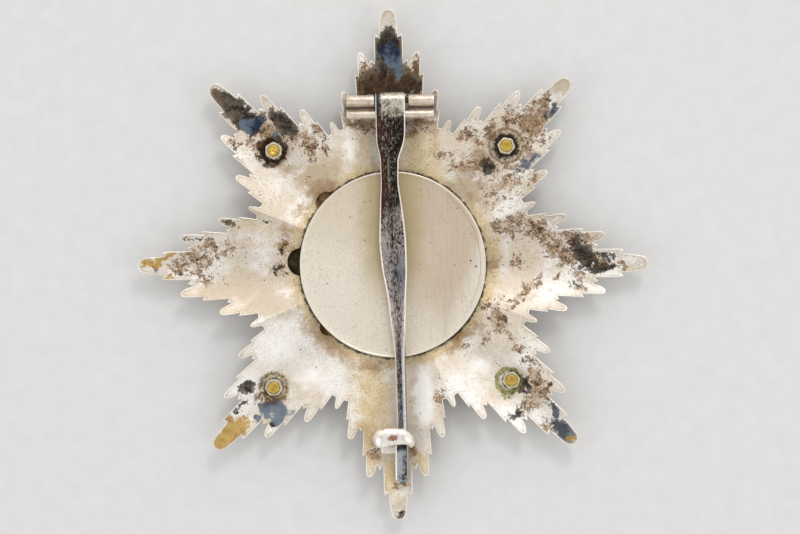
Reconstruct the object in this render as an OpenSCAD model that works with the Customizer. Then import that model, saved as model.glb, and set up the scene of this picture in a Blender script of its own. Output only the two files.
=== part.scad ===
// Breast star seen from its back: an eight-armed plate of cast rays, a centre disc,
// four bolted fixings and a hinged brooch pin with its catch.
// The star lies face down. Z = 0 is the surface it rests on, +Z comes out of the back,
// +Y points to the arm that carries the hinge, and the origin is under the star's centre.

/* [Ray plate] */
// Distance from the centre to each of the eight arm tips
star_radius = 44; // [38:0.5:48]
// Thickness of the plate beside the ray ridges
plate_t = 1; // [0.8:0.1:1.6]
// How far the middle of a ray stands out on the front
ray_ridge = 0.3; // [0.1:0.05:0.5]
// Height of the creases between two arms over the arms' troughs, at their outer ends
crease_h = 3.2; // [2:0.1:4]
// How far the arm tips rise towards the back
tip_rise = 2; // [0.5:0.1:3]

/* [Centre] */
// Radius of the disc on the back
disc_r = 16; // [14:0.25:17]
// Thickness of the disc
disc_t = 0.9; // [0.6:0.1:1.4]
// Height of the disc's fine raised edge
rim_h = 0.15; // [0.05:0.05:0.3]
// Width of the disc's fine raised edge
rim_w = 0.3; // [0.2:0.05:0.6]
// Radius of the plain seat on the front
boss_r = 18.6; // [17.6:0.1:19.4]
// Thickness of the plain seat on the front
boss_h = 2; // [1.4:0.1:3]
// Radius of the hub that carries the disc
hub_r = 5; // [3:0.25:7]
// Radius of the circle on which the three open holes lie
well_ring_r = 15.7; // [15:0.1:16]
// Diameter of an open hole, before its own share
well_d = 4; // [3:0.1:4.4]

/* [Fixings] */
// Radius of the circle on which the four screws stand
fixing_r = 28.4; // [27:0.2:30]
// Diameter of the screws
screw_d = 1.95; // [1.6:0.05:2.2]
// Width of the nuts across their flats
nut_af = 2.7; // [2.5:0.1:3.2]
// Height of the nuts
nut_h = 1.5; // [1:0.1:2]
// How far a screw stands out of its nut
screw_out = 0.15; // [0.05:0.05:0.6]
// Diameter of the plain screw heads on the front
head_d = 4.4; // [3.4:0.1:5]
// Height of the plain screw heads on the front
head_h = 0.9; // [0.5:0.1:1.1]

/* [Hinge] */
// Distance of the hinge axis from the centre
hinge_y = 28.2; // [27.6:0.1:28.8]
// Length of the hinge from end to end
hinge_w = 15.1; // [13:0.1:15.4]
// Diameter of the hinge barrels
barrel_d = 1.9; // [1.6:0.05:2.2]
// Diameter of the hinge axle
axle_d = 0.9; // [0.6:0.05:1.1]
// Diameter of the rounded bar in front of the barrels
bar_d = 1.6; // [1.2:0.1:1.8]
// Distance from the hinge axis to the rounded bar
bar_off = 2.4; // [2.3:0.1:3]

/* [Brooch pin] */
// Length of the pin from the hinge axis to its end
pin_len = 65.8; // [62:0.2:68]
// Width of the pin's knuckle and head
pin_w = 5.1; // [4:0.1:5.6]
// Thickness of the flat bar and of its knuckle
pin_t = 0.9; // [0.7:0.05:1.2]
// Thickness of the pin's thin shank
shank_t = 1.25; // [0.9:0.05:1.5]
// Slope of the closed pin from the hinge down to the catch, in degrees
pin_dip = 1.5; // [0:0.1:1.8]
// Least height of the closed pin over the bar and the disc
pin_gap = 0.2; // [0.15:0.05:0.6]

/* [Catch] */
// Distance of the catch from the centre
catch_y = 30; // [28:0.1:31]
// Width of the catch from its bend to its beak
catch_w = 7.7; // [7:0.1:8.4]
// Length of the catch along the pin
catch_l = 3.5; // [2.4:0.1:4]
// Thickness of the catch's band
catch_t = 0.65; // [0.4:0.05:0.8]
// Gap between the closed pin and the catch
catch_gap = 0.35; // [0.2:0.05:0.6]

/* [Hidden] */

$fn = 96;
// Gap between two pieces that are seated on each other
seat_gap = 0.05;
// Gap between a soldered foot and the plate's curved back
foot_gap = 0.1;
// Radial clearance of the axle and of the screws in their nuts
run_gap = 0.05;
// Radial clearance of the screws and of the hub in the plate
hole_gap = 0.15;
// Gaps between the pin's knuckle and the barrels on its left and right
knuckle_gap = 0.2;
knuckle_play = 0.6;
// Power of the trough's section, 2 for a parabola and less for a sharper one
trough_pow = 1.8;
// How far a cut runs past the solid that it cuts
past = 1;
// Chamfers of the plain seat's front edge and of the nuts' corners
boss_edge = 0.6;
nut_chamfer = 0.15;
silver = [0.86, 0.83, 0.77];
gilt = [0.80, 0.66, 0.30];
dark_steel = [0.40, 0.37, 0.35];

arms = 8;
arm_pitch = 360 / arms;

// Half an arm's outline. Angle from the arm's middle line in degrees, reach as a share of
// star_radius, ridge as a share of ray_ridge. The other half mirrors it, and arms repeat it.
ray_angle = 0;
ray_reach = 1;
ray_top = 2;
rays = [
    [0, 1.000, 1],
    [1.3, 0.990, 0.8],
    [1.95, 0.954, 0.5],
    [2.4, 0.893, 0],
    [3.2, 0.906, 0.6],
    [3.6, 0.888, 0.5],
    [4.1, 0.791, 0],
    [5.0, 0.809, 0.6],
    [5.8, 0.786, 0],
    [6.4, 0.822, 0.6],
    [7.5, 0.840, 1],
    [8.6, 0.824, 0.6],
    [9.3, 0.750, 0],
    [10.3, 0.761, 0.6],
    [11.4, 0.655, 0],
    [12.2, 0.667, 0.6],
    [13.0, 0.651, 0],
    [13.8, 0.692, 0.7],
    [14.9, 0.704, 1],
    [16.1, 0.690, 0.6],
    [17.0, 0.626, 0],
    [17.8, 0.637, 0.6],
    [19.2, 0.563, 0],
    [20.8, 0.566, 0.2],
    [21.6, 0.598, 0.7],
    [22.5, 0.606, 1]
];

// How far each arm leans from its even place, in degrees, from the +X arm round by +Y.
// A crease between two arms keeps its place.
arm_lean = [-0.6, 0.4, 0.2, -0.4, -0.6, 0, 0.4, -0.2];

// The three open holes. Angle in degrees round the star, distance as a share of
// well_ring_r, diameter as a share of well_d.
well_angle = 0;
well_share = 1;
well_wide = 2;
wells = [
    [136, 0.99, 0.98],
    [177.5, 1.01, 1.2],
    [223, 1, 0.7]
];

// The four fixings. Angle round the star, distance as a share of fixing_r, turn of the nut.
fix_angle = 0;
fix_share = 1;
fix_turn = 2;
fix_ne = [45.3, 0.995, 18];
fix_nw = [135.4, 1.00, 0];
fix_sw = [225, 1.04, 31];
fix_se = [314.7, 1.005, 40];
fixings = [fix_ne, fix_nw, fix_sw, fix_se];

// The pin from above. Station as a share of pin_len, width as a share of pin_w, and how far
// its middle line lies to the side as a share of pin_w.
pin_at = 0;
pin_wide = 1;
pin_side = 2;
pin_plan = [
    [0.000, 1.00, 0.00],
    [0.056, 1.00, 0.00],
    [0.085, 0.99, 0.00],
    [0.113, 0.92, -0.02],
    [0.138, 0.74, -0.04],
    [0.160, 0.63, -0.06],
    [0.213, 0.61, -0.06],
    [0.255, 0.70, -0.04],
    [0.313, 0.83, -0.01],
    [0.371, 0.91, 0.01],
    [0.430, 0.86, 0.05],
    [0.517, 0.63, 0.12],
    [0.582, 0.52, 0.15],
    [0.650, 0.40, 0.19],
    [0.705, 0.36, 0.20],
    [0.880, 0.36, 0.22],
    [0.905, 0.45, 0.20],
    [0.990, 0.45, 0.19],
    [1.000, 0.30, 0.19]
];

// The pin from the side. Station as a share of pin_len, and how far its thickness has
// changed from pin_t (0) to shank_t (1).
pin_side_view = [
    [0.45, 0],
    [0.62, 1],
    [0.87, 1],
    [0.91, 0.2],
    [0.99, 0],
    [1.00, -1]
];

// The catch from above, from its bend round to its beak. Places as shares of catch_w to the
// right of its middle and of catch_l towards the hinge.
catch_plan = [
    [-0.50, 0.10],
    [-0.42, 0.36],
    [-0.24, 0.48],
    [-0.02, 0.50],
    [0.22, 0.40],
    [0.40, 0.10],
    [0.50, -0.14],
    [0.47, -0.32],
    [0.36, -0.46],
    [0.24, -0.36],
    [0.04, -0.34],
    [-0.16, -0.38],
    [-0.34, -0.50],
    [-0.45, -0.40],
    [-0.50, -0.14]
];

// Back surface of the plate. It rises from each arm's middle line as a power of the
// distance from that line, and the arms rise outside the disc as a parabola.
crease_out = star_radius * rays[len(rays) - 1][ray_reach];
crease_side = crease_out * sin(arm_pitch / 2);
floor_z = boss_h + seat_gap + plate_t;
function trough(side) = crease_h * pow(abs(side) / crease_side, trough_pow);
function dome(r) = tip_rise * pow(max(0, r - disc_r) / (star_radius - disc_r), 2);
function back_z(r, side) = floor_z + trough(side) + dome(r);
// The same for a place beside an arm's middle line
function seat_z(along, side) = back_z(norm([along, side]), side);

disc_z = back_z(disc_r, disc_r * sin(arm_pitch / 2)) + seat_gap;
disc_top = disc_z + disc_t + rim_h;

// Columns run round the plate, from one arm's middle line to the next crease and back.
// Every fine_step-th of them goes on to the middle.
half_n = len(rays) - 1;
fine_n = 2 * arms * half_n;
fine_step = 5;
coarse_n = fine_n / fine_step;
hub_hole_r = hub_r + hole_gap;
coarse_rings = [hub_hole_r - past, disc_r, boss_r + boss_edge];
// Where the fine rings start, as a share of the way from the last coarse ring to the
// shortest reach
fine_start = 0.55;
fine_rings = [0, 0.5, 1];
least_reach = min([for (row = rays) row[ray_reach]]) * star_radius;
fine_r = coarse_rings[2] + fine_start * (least_reach - coarse_rings[2]);

function going_out(i) = floor(i / half_n) % 2 == 0;
function row_of(i) = going_out(i) ? rays[i % half_n] : rays[half_n - i % half_n];
function arm_angle(i) = arm_pitch * floor((floor(i / half_n) + 1) / 2);
function off_angle(i) = (going_out(i) ? 1 : -1) * row_of(i)[ray_angle];
function lean(i) = arm_lean[arm_angle(i) / arm_pitch % arms]
    * (1 - pow(row_of(i)[ray_angle] / (arm_pitch / 2), 2));
function column_angle(i) = arm_angle(i) + off_angle(i) + lean(i);
function column_r(i, share) = fine_r + share * (row_of(i)[ray_reach] * star_radius - fine_r);

// A point of the back surface, or of the front surface under it
function plate_point(i, r, ridge, front) =
    let (z = back_z(r, r * sin(off_angle(i))))
    [r * cos(column_angle(i)), r * sin(column_angle(i)), front ? z - plate_t - ridge : z];
function side_points(front) = concat(
    [for (r = coarse_rings) for (m = [0 : coarse_n - 1]) plate_point(m * fine_step, r, 0, front)],
    [for (share = fine_rings) for (i = [0 : fine_n - 1])
        plate_point(i, column_r(i, share), share * row_of(i)[ray_top] * ray_ridge, front)]);

side_n = len(coarse_rings) * coarse_n + len(fine_rings) * fine_n;
function coarse_at(ring, m) = ring * coarse_n + m % coarse_n;
function fine_at(ring, i) = len(coarse_rings) * coarse_n + ring * fine_n + i % fine_n;
function quad(a, b, c, d) = [[a, b, c], [a, c, d]];
function joined(lists) = [for (list = lists) for (item = list) item];

// Triangles of one side: coarse rings, a fan from each coarse column to its fine ones,
// and fine rings out to the rays' edge
last_coarse = len(coarse_rings) - 1;
last_fine = len(fine_rings) - 1;
side_faces = concat(
    joined([for (q = [0 : last_coarse - 1]) for (m = [0 : coarse_n - 1])
        quad(coarse_at(q, m), coarse_at(q, m + 1), coarse_at(q + 1, m + 1), coarse_at(q + 1, m))]),
    [for (m = [0 : coarse_n - 1]) for (k = [0 : fine_step - 1])
        [coarse_at(last_coarse, m), fine_at(0, m * fine_step + k + 1), fine_at(0, m * fine_step + k)]],
    [for (m = [0 : coarse_n - 1])
        [coarse_at(last_coarse, m), coarse_at(last_coarse, m + 1), fine_at(0, (m + 1) * fine_step)]],
    joined([for (q = [0 : last_fine - 1]) for (i = [0 : fine_n - 1])
        quad(fine_at(q, i), fine_at(q, i + 1), fine_at(q + 1, i + 1), fine_at(q + 1, i))]));
function front_face(face) = [side_n + face[0], side_n + face[2], side_n + face[1]];
edge_faces = joined(concat(
    [for (i = [0 : fine_n - 1]) quad(fine_at(last_fine, i), fine_at(last_fine, i + 1),
        side_n + fine_at(last_fine, i + 1), side_n + fine_at(last_fine, i))],
    [for (m = [0 : coarse_n - 1]) quad(coarse_at(0, m + 1), coarse_at(0, m),
        side_n + coarse_at(0, m), side_n + coarse_at(0, m + 1))]));

// Puts its children where a fixing stands, upright on the back
module at_fixing(fix) {
    rotate([0, 0, fix[fix_angle]])
        translate([fixing_r * fix[fix_share], 0, 0])
            children();
}

module ray_plate() {
    color(silver)
        difference() {
            polyhedron(
                points = concat(side_points(false), side_points(true)),
                faces = concat(side_faces, [for (face = side_faces) front_face(face)], edge_faces),
                convexity = 12);
            cylinder(r = hub_hole_r, h = disc_z + past);
            for (well = wells)
                rotate([0, 0, well[well_angle]])
                    translate([well_ring_r * well[well_share], 0, 0])
                        cylinder(d = well_d * well[well_wide], h = disc_z + past);
            for (fix = fixings)
                at_fixing(fix)
                    cylinder(r = screw_d / 2 + hole_gap, h = disc_z + past);
        }
}

module back_disc() {
    color(silver)
        translate([0, 0, disc_z])
            rotate_extrude()
                polygon([
                    [0, 0],
                    [disc_r - rim_w / 2, 0],
                    [disc_r, rim_w / 2],
                    [disc_r, disc_t + rim_h],
                    [disc_r - rim_w, disc_t + rim_h],
                    [disc_r - rim_w, disc_t],
                    [0, disc_t]
                ]);
}

module centre_boss() {
    color(silver)
        rotate_extrude()
            polygon([
                [0, 0],
                [boss_r - 2 * boss_edge, 0],
                [boss_r, boss_edge],
                [boss_r, boss_h],
                [hub_r, boss_h],
                [hub_r, disc_z],
                [0, disc_z]
            ]);
}

// Nuts and heads stand clear of the plate's highest and lowest place under them
function nut_z(fix) = seat_z(fixing_r * fix[fix_share] + nut_af / 2, nut_af / 2) + foot_gap;
function screw_top(fix) = nut_z(fix) + nut_h + screw_out;
function head_z(fix) =
    back_z(fixing_r * fix[fix_share] - head_d / 2, 0) - plate_t - ray_ridge - foot_gap;
// Section of a plain head. How far it lies inside the head's radius, and its height, both
// as shares of head_h.
head_section = [[0.8, 0], [0.3, 0.2], [0, 0.6], [0, 1]];
module screw(fix) {
    color(gilt)
        at_fixing(fix)
            union() {
                translate([0, 0, head_z(fix) - head_h / 2])
                    cylinder(d = screw_d, h = screw_top(fix) - head_z(fix) + head_h / 2);
                translate([0, 0, head_z(fix) - head_h])
                    rotate_extrude()
                        polygon(concat(
                            [[0, 0]],
                            [for (row = head_section) [head_d / 2 - head_h * row[0], head_h * row[1]]],
                            [[0, head_h]]));
            }
}
module nut(fix) {
    corner_r = nut_af / 2 / cos(30);
    color(silver)
        at_fixing(fix)
            translate([0, 0, nut_z(fix)])
                difference() {
                    intersection() {
                        rotate([0, 0, fix[fix_turn] - fix[fix_angle]])
                            cylinder(r = corner_r, h = nut_h, $fn = 6);
                        cylinder(r1 = corner_r + nut_h, r2 = corner_r - nut_chamfer, h = nut_h);
                    }
                    translate([0, 0, -past])
                        cylinder(r = screw_d / 2 + run_gap, h = nut_h + 2 * past);
                }
}

// The hinge lies across the trough of the upper arm and rests on the trough's sides.
// Its axis is high enough for the barrels to clear the plate, and for the pin to clear
// the rounded bar and the disc.
knuckle_in = axle_d / 2 + run_gap;
knuckle_out = knuckle_in + pin_t;
bar_y = hinge_y - bar_off;
bar_z = seat_z(bar_y, hinge_w / 2) + foot_gap + bar_d / 2;
function dip_at(distance) = distance * sin(pin_dip);
hinge_z = max(
    seat_z(hinge_y, hinge_w / 2) + foot_gap + barrel_d / 2,
    bar_z + bar_d / 2 + pin_gap - knuckle_in + dip_at(bar_off + bar_d / 2),
    disc_top + pin_gap - knuckle_in + dip_at(hinge_y + disc_r));
// Thickness of the hinge's foot under the rounded bar
foot_t = bar_d * 0.6;

// Section of the hinge's foot across the arm, from one side to another. Its lower edge
// follows the trough at the given distance from the centre.
module foot_section(x0, x1, along, top) {
    steps = 12;
    xs = [for (k = [0 : steps]) x0 + (x1 - x0) * k / steps];
    polygon(concat(
        [for (x = xs) [x, seat_z(along, x) + foot_gap]],
        [[x1, top], [x0, top]]));
}
// A slab of that section between two distances from the centre
module foot_slab(x0, x1, along0, along1, top) {
    translate([0, along1, 0])
        rotate([90, 0, 0])
            linear_extrude(along1 - along0)
                foot_section(x0, x1, along1, top);
}
// A round bar across the arm
module cross_bar(x0, x1, y, z, d) {
    translate([x0, y, z])
        rotate([0, 90, 0])
            cylinder(d = d, h = x1 - x0);
}
module hinge_block() {
    end = hinge_w / 2;
    color(silver)
        difference() {
            union() {
                cross_bar(-end, end, bar_y, bar_z, bar_d);
                foot_slab(-end, end, bar_y - foot_t / 2, bar_y + foot_t / 2, bar_z);
                for (span = [[-end, -pin_w / 2 - knuckle_gap], [pin_w / 2 + knuckle_play, end]]) {
                    cross_bar(span[0], span[1], hinge_y, hinge_z, barrel_d);
                    foot_slab(span[0], span[1], bar_y, hinge_y + barrel_d / 4, hinge_z - barrel_d / 3);
                }
            }
            cross_bar(-end - past, end + past, hinge_y, hinge_z, axle_d + 2 * run_gap);
        }
}
module hinge_axle() {
    color(dark_steel)
        cross_bar(-hinge_w / 2, hinge_w / 2, hinge_y, hinge_z, axle_d);
}

// The pin is drawn level, with the hinge axis as its origin and its end towards -Y,
// and then dips to the catch.
module pin_outline() {
    polygon(concat(
        [for (row = pin_plan) [pin_w * (row[pin_side] + row[pin_wide] / 2), -pin_len * row[pin_at]]],
        [for (k = [len(pin_plan) - 1 : -1 : 0]) let (row = pin_plan[k])
            [pin_w * (row[pin_side] - row[pin_wide] / 2), -pin_len * row[pin_at]]]));
}
function pin_thick(blend) = pin_t + max(0, blend) * (shank_t - pin_t);
function pin_chamfer(blend) = max(0, -blend) * pin_t / 3;
module pin_profile() {
    polygon(concat(
        [[0, knuckle_in], [0, knuckle_out]],
        [for (row = pin_side_view)
            [pin_len * row[0], knuckle_in + pin_thick(row[1]) - pin_chamfer(row[1])]],
        [[pin_len, knuckle_in + pin_chamfer(-1)], [pin_len * 0.99, knuckle_in]]));
}
module brooch_pin() {
    color(dark_steel)
        translate([0, hinge_y, hinge_z])
            rotate([pin_dip, 0, 0])
                difference() {
                    union() {
                        intersection() {
                            linear_extrude(knuckle_out + shank_t)
                                pin_outline();
                            translate([-pin_w, 0, 0])
                                rotate([90, 0, 90])
                                    linear_extrude(2 * pin_w)
                                        mirror([1, 0, 0])
                                            pin_profile();
                        }
                        cross_bar(-pin_w / 2, pin_w / 2, 0, 0, 2 * knuckle_out);
                    }
                    cross_bar(-pin_w, pin_w, 0, 0, 2 * knuckle_in);
                }
}

// The catch is a band bent to a hook round the pin's shank: a foot on the plate, a round
// bend on the left, and a top that ends in a beak turned down on the right.
// The middle of the shank there lies 0.21 of pin_w to the side, and crosses the hook right
// of its middle.
catch_pin_x = 0.21 * pin_w;
catch_x = catch_pin_x - 0.18 * catch_w;
catch_reach = hinge_y + catch_y;
// The foot's width, length, lap under the bend, how far it goes outwards past the catch's
// middle, and how far it may lie to the side in the trough
foot_w = 0.36 * catch_w;
foot_lap = catch_t / 2;
foot_l = 1.1 * catch_l;
foot_out = 0.78 * catch_l;
foot_side = 0.3 * catch_w;
catch_foot = seat_z(catch_y + foot_out, foot_side) + foot_gap;
catch_top = hinge_z + knuckle_in + shank_t - dip_at(catch_reach - catch_l / 2) + catch_gap + catch_t;
bend_r = (catch_top - catch_foot) / 2;
bend_x = bend_r - catch_w / 2;
// Radius of the beak's curve, and how far it turns down in degrees
beak_r = 0.36 * catch_w;
beak_turn = 62;
beak_x = catch_w / 2 - beak_r;
// Points of the hook's section at a depth inside its outer face, from the beak to the bend
function hook_line(depth) = concat(
    [for (a = [90 - beak_turn : beak_turn / 8 : 90])
        [beak_x + (beak_r - depth) * cos(a), catch_top - beak_r + (beak_r - depth) * sin(a)]],
    [for (a = [90 : 10 : 270])
        [bend_x + (bend_r - depth) * cos(a), catch_foot + bend_r + (bend_r - depth) * sin(a)]]);
module hook_section() {
    outer = hook_line(0);
    inner = hook_line(catch_t);
    polygon(concat(outer, [for (k = [len(inner) - 1 : -1 : 0]) inner[k]]));
}
module catch_hook() {
    color(silver)
        translate([catch_x, -catch_y, 0])
            union() {
                intersection() {
                    translate([0, catch_l, 0])
                        rotate([90, 0, 0])
                            linear_extrude(2 * catch_l)
                                hook_section();
                    linear_extrude(catch_top + past)
                        polygon([for (row = catch_plan) [catch_w * row[0], catch_l * row[1]]]);
                }
                translate([bend_x - foot_lap, -foot_out, catch_foot])
                    cube([foot_w + foot_lap, foot_l, catch_t]);
            }
}

ray_plate();
back_disc();
centre_boss();
screw(fix_ne);  // screw_ne
screw(fix_nw);  // screw_nw
screw(fix_sw);  // screw_sw
screw(fix_se);  // screw_se
nut(fix_ne);  // nut_ne
nut(fix_nw);  // nut_nw
nut(fix_sw);  // nut_sw
nut(fix_se);  // nut_se
hinge_block();
hinge_axle();
brooch_pin();
catch_hook();
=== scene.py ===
import math
import bpy
import numpy as np
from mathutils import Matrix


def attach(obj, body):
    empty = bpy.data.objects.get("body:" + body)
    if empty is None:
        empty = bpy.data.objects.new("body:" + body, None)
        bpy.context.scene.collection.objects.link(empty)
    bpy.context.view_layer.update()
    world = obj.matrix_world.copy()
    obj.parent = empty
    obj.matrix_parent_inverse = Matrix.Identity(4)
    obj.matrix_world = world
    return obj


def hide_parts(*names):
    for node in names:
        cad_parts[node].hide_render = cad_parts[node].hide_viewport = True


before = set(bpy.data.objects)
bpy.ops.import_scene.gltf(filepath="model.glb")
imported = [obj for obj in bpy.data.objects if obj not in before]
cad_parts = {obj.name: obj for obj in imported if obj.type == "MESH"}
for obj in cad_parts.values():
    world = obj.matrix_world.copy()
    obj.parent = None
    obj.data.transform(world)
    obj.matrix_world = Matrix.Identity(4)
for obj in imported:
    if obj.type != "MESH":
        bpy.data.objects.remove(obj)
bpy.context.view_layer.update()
mm = 0.001  # all shapes below are worked out in millimetres
print("frame loaded")


# Camera: straight above, as the photograph, with the star turned a little to the left

cameraView = {
    "pixel": 0.1722,  # millimetres of the star that one pixel shows
    "imageWidth": 800,
    "height": 600.0,
    "aimRight": 1.22,  # from the star's centre to the middle of the picture
    "aimUp": -0.45,
    "turn": 0.97,  # degrees
    "tipHeight": 5.0,
    "sensor": 36,
    "clip": (0.05, 20),  # nearest and farthest, in metres
}


def addObject(name, data):
    # a new object of the scene, at the origin
    made = bpy.data.objects.new(name, data)
    bpy.context.scene.collection.objects.link(made)
    return made


def addCamera(view):
    # lens = sensor width x distance / width of the field seen. The aim is turned as the star is.
    turn = math.radians(view["turn"])
    right = np.array([math.cos(turn), -math.sin(turn)])
    up = np.array([math.sin(turn), math.cos(turn)])
    x, y = view["aimRight"] * right + view["aimUp"] * up
    data = bpy.data.cameras.new("camera")
    data.sensor_width = view["sensor"]
    data.lens = data.sensor_width * view["height"] / (view["pixel"] * view["imageWidth"])
    data.clip_start, data.clip_end = view["clip"]
    camera = addObject("camera", data)
    camera.location = (x * mm, y * mm, (view["height"] + view["tipHeight"]) * mm)
    camera.rotation_euler = (0, 0, -turn)
    bpy.context.scene.camera = camera


addCamera(cameraView)


# Meshes

weldStep = 1e-5  # points nearer than this, in millimetres, fall together


def gridFaces(rows, cols, closeRows=False, closeCols=True):
    # quads between neighbouring rows and columns of a grid of points
    r, c = np.meshgrid(np.arange(rows if closeRows else rows - 1),
                       np.arange(cols if closeCols else cols - 1), indexing="ij")
    r2, c2 = (r + 1) % rows, (c + 1) % cols
    return np.stack([r * cols + c, r * cols + c2, r2 * cols + c2, r2 * cols + c], -1).reshape(-1, 4)


def shell(grid, closeRows=False, closeCols=True):
    # a closed shell from a grid of points: points that fall together are welded, quads that
    # lose a corner become triangles, and the whole is turned so that it encloses volume
    rows, cols = grid.shape[:2]
    flat = grid.reshape(-1, 3)
    keys, first, back = np.unique(np.round(flat / weldStep).astype(np.int64), axis=0,
                                  return_index=True, return_inverse=True)
    points = flat[first]
    faces = back.reshape(-1)[gridFaces(rows, cols, closeRows, closeCols)]
    distinct = faces != np.roll(faces, -1, axis=1)
    quads = faces[distinct.all(1)]
    three = distinct.sum(1) == 3
    triangles = faces[three][distinct[three]].reshape(-1, 3)
    corners = np.concatenate([quads[:, [0, 1, 2]], quads[:, [0, 2, 3]], triangles])
    a, b, c = (points[corners[:, k]] for k in range(3))
    if np.einsum("ij,ij->i", a, np.cross(b, c)).sum() < 0:
        quads, triangles = quads[:, ::-1], triangles[:, ::-1]
    return points, quads, triangles


def joinShells(shells):
    # several shells as one list of points and faces
    points, faces, start = [], [], 0
    for p, quads, triangles in shells:
        points.append(p)
        faces += (quads + start).tolist() + (triangles + start).tolist()
        start += len(p)
    return np.concatenate(points), faces


def newMesh(name, points, faces):
    # a mesh from points in millimetres
    mesh = bpy.data.meshes.new(name)
    mesh.from_pydata((np.array(points) * mm).tolist(), [], faces)
    return mesh


def pointsOf(mesh):
    # a mesh's points as rows, in millimetres
    found = np.empty(len(mesh.vertices) * 3, np.float32)
    mesh.vertices.foreach_get("co", found)
    return found.reshape(-1, 3) / mm


def storeValues(mesh, **layers):
    # a value on each point, which the materials read by its name
    for name, values in layers.items():
        layer = mesh.attributes.new(name, "FLOAT", "POINT")
        layer.data.foreach_set("value", np.asarray(values, np.float32))


def addPiece(name, shells, nodes, body, finish, sharpAngle=32):
    # one piece of the star: it stands for its CAD nodes and rides on their body
    mesh = newMesh(name, *joinShells(shells))
    mesh.shade_smooth()
    mesh.set_sharp_from_angle(angle=math.radians(sharpAngle))
    mesh.materials.append(finish)
    piece = addObject(name, mesh)
    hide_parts(*nodes)
    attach(piece, body)
    return piece


def lathe(profile, segments=96, centre=(0, 0, 0), axis="z"):
    # a profile of [radius, height] turned round an upright axis, or round one along x
    radius, height = np.array(profile, float).T
    turn = np.linspace(0, 2 * math.pi, segments, endpoint=False)
    across = radius[:, None] * np.cos(turn), radius[:, None] * np.sin(turn)
    along = np.repeat(height[:, None], segments, 1)
    grid = np.stack([*across, along] if axis == "z" else [along, *across], -1)
    return shell(grid + np.array(centre))


def roundedProfile(rows, edge, steps=4):
    # a profile whose corners are cut by arcs: each corner is replaced by a quadratic curve
    # from a point before it to a point after it
    rows = np.array(rows, float)
    out = [rows[0]]
    for before, corner, after in zip(rows[:-2], rows[1:-1], rows[2:]):
        sides = np.linalg.norm(before - corner), np.linalg.norm(after - corner)
        reach = min(edge, 0.45 * min(sides))  # never past the middle of a side
        start = corner + (before - corner) * reach / sides[0]
        end = corner + (after - corner) * reach / sides[1]
        t = np.linspace(0, 1, steps)[:, None]
        out += list((1 - t) ** 2 * start + 2 * t * (1 - t) * corner + t ** 2 * end)
    return np.array(out + [rows[-1]])


def superellipse(count, power):
    # points round a unit square with round corners: cos and sin to the power 2 / n
    turn = np.linspace(0, 2 * math.pi, count, endpoint=False)
    c, s = np.cos(turn), np.sin(turn)
    power = np.asarray(power, float)[..., None]
    return (np.sign(c) * np.abs(c) ** (2 / power), np.sign(s) * np.abs(s) ** (2 / power))


def capped(rings):
    # a row of rings with a pole at either end
    first = np.repeat(rings[:1].mean(1, keepdims=True), rings.shape[1], 1)
    last = np.repeat(rings[-1:].mean(1, keepdims=True), rings.shape[1], 1)
    return np.concatenate([first, rings, last])


def hermite(t, start, end, leave, arrive):
    # the cubic from start to end, for t from 0 to 1, that leaves and arrives at these slopes
    return ((2 * t ** 3 - 3 * t ** 2 + 1) * start + (t ** 3 - 2 * t ** 2 + t) * leave
            + (3 * t ** 2 - 2 * t ** 3) * end + (t ** 3 - t ** 2) * arrive)


# Materials

specularLevel = 0.12  # of every finish


def tint(red, green, blue):
    # a colour as it looks on a screen, 0 to 255, as the shader's own numbers
    c = np.array([red, green, blue]) / 255
    return (*np.where(c <= 0.04045, c / 12.92, ((c + 0.055) / 1.055) ** 2.4).tolist(), 1)


class Wire:
    # an output of a node in an expression: each operator adds a Math node

    def __init__(self, tree, socket):
        self.tree, self.socket = tree, socket

    def math(self, operation, first, second=0.5):
        # a Math node with that operation
        node = self.tree.nodes.new("ShaderNodeMath")
        node.operation = operation
        for slot, value in zip(node.inputs, (first, second)):
            plug(self.tree, slot, value)
        return Wire(self.tree, node.outputs[0])

    def __add__(self, other):
        return self.math("ADD", self, other)

    def __radd__(self, other):
        return self.math("ADD", other, self)

    def __sub__(self, other):
        return self.math("SUBTRACT", self, other)

    def __rsub__(self, other):
        return self.math("SUBTRACT", other, self)

    def __mul__(self, other):
        return self.math("MULTIPLY", self, other)

    def __rmul__(self, other):
        return self.math("MULTIPLY", other, self)

    def high(self, other):
        return self.math("MAXIMUM", self, other)

    def size(self):
        # its value without the sign
        return self.math("ABSOLUTE", self)


def plug(tree, slot, value):
    # a wire is linked to the socket, and a number or a colour becomes its own value
    if isinstance(value, Wire):
        tree.links.new(value.socket, slot)
    else:
        slot.default_value = value


class Nodes:
    # a node tree that nodes are added to

    def __init__(self, tree):
        self.tree = tree

    def add(self, kind, settings, sockets, output=None):
        # a node: its settings, then its inputs by name. What comes back is the named output, or
        # else the first that is in use.
        node = self.tree.nodes.new(kind)
        for key, value in settings.items():
            setattr(node, key, value)
        for key, value in sockets.items():
            slot = next(s for s in node.inputs if key in (s.identifier, s.name) and s.enabled)
            plug(self.tree, slot, value)
        found = node.outputs[output] if output else next(s for s in node.outputs if s.enabled)
        return Wire(self.tree, found)

    def axis(self, vector, name):
        # one coordinate of a vector: "X", "Y" or "Z"
        return self.add("ShaderNodeSeparateXYZ", {}, {"Vector": vector}, name)

    def ramp(self, value, start, end, low=0.0, high=1.0):
        # from low to high, smoothly, as value goes from start to end
        return self.add("ShaderNodeMapRange", {"interpolation_type": "SMOOTHSTEP"},
                        {"Value": value, "From Min": start, "From Max": end, "To Min": low, "To Max": high})

    def vector(self, operation, first, second=None, **others):
        # a Vector Math node
        if second is not None:
            others["Vector_001"] = second
        return self.add("ShaderNodeVectorMath", {"operation": operation}, {"Vector": first, **others})


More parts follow.
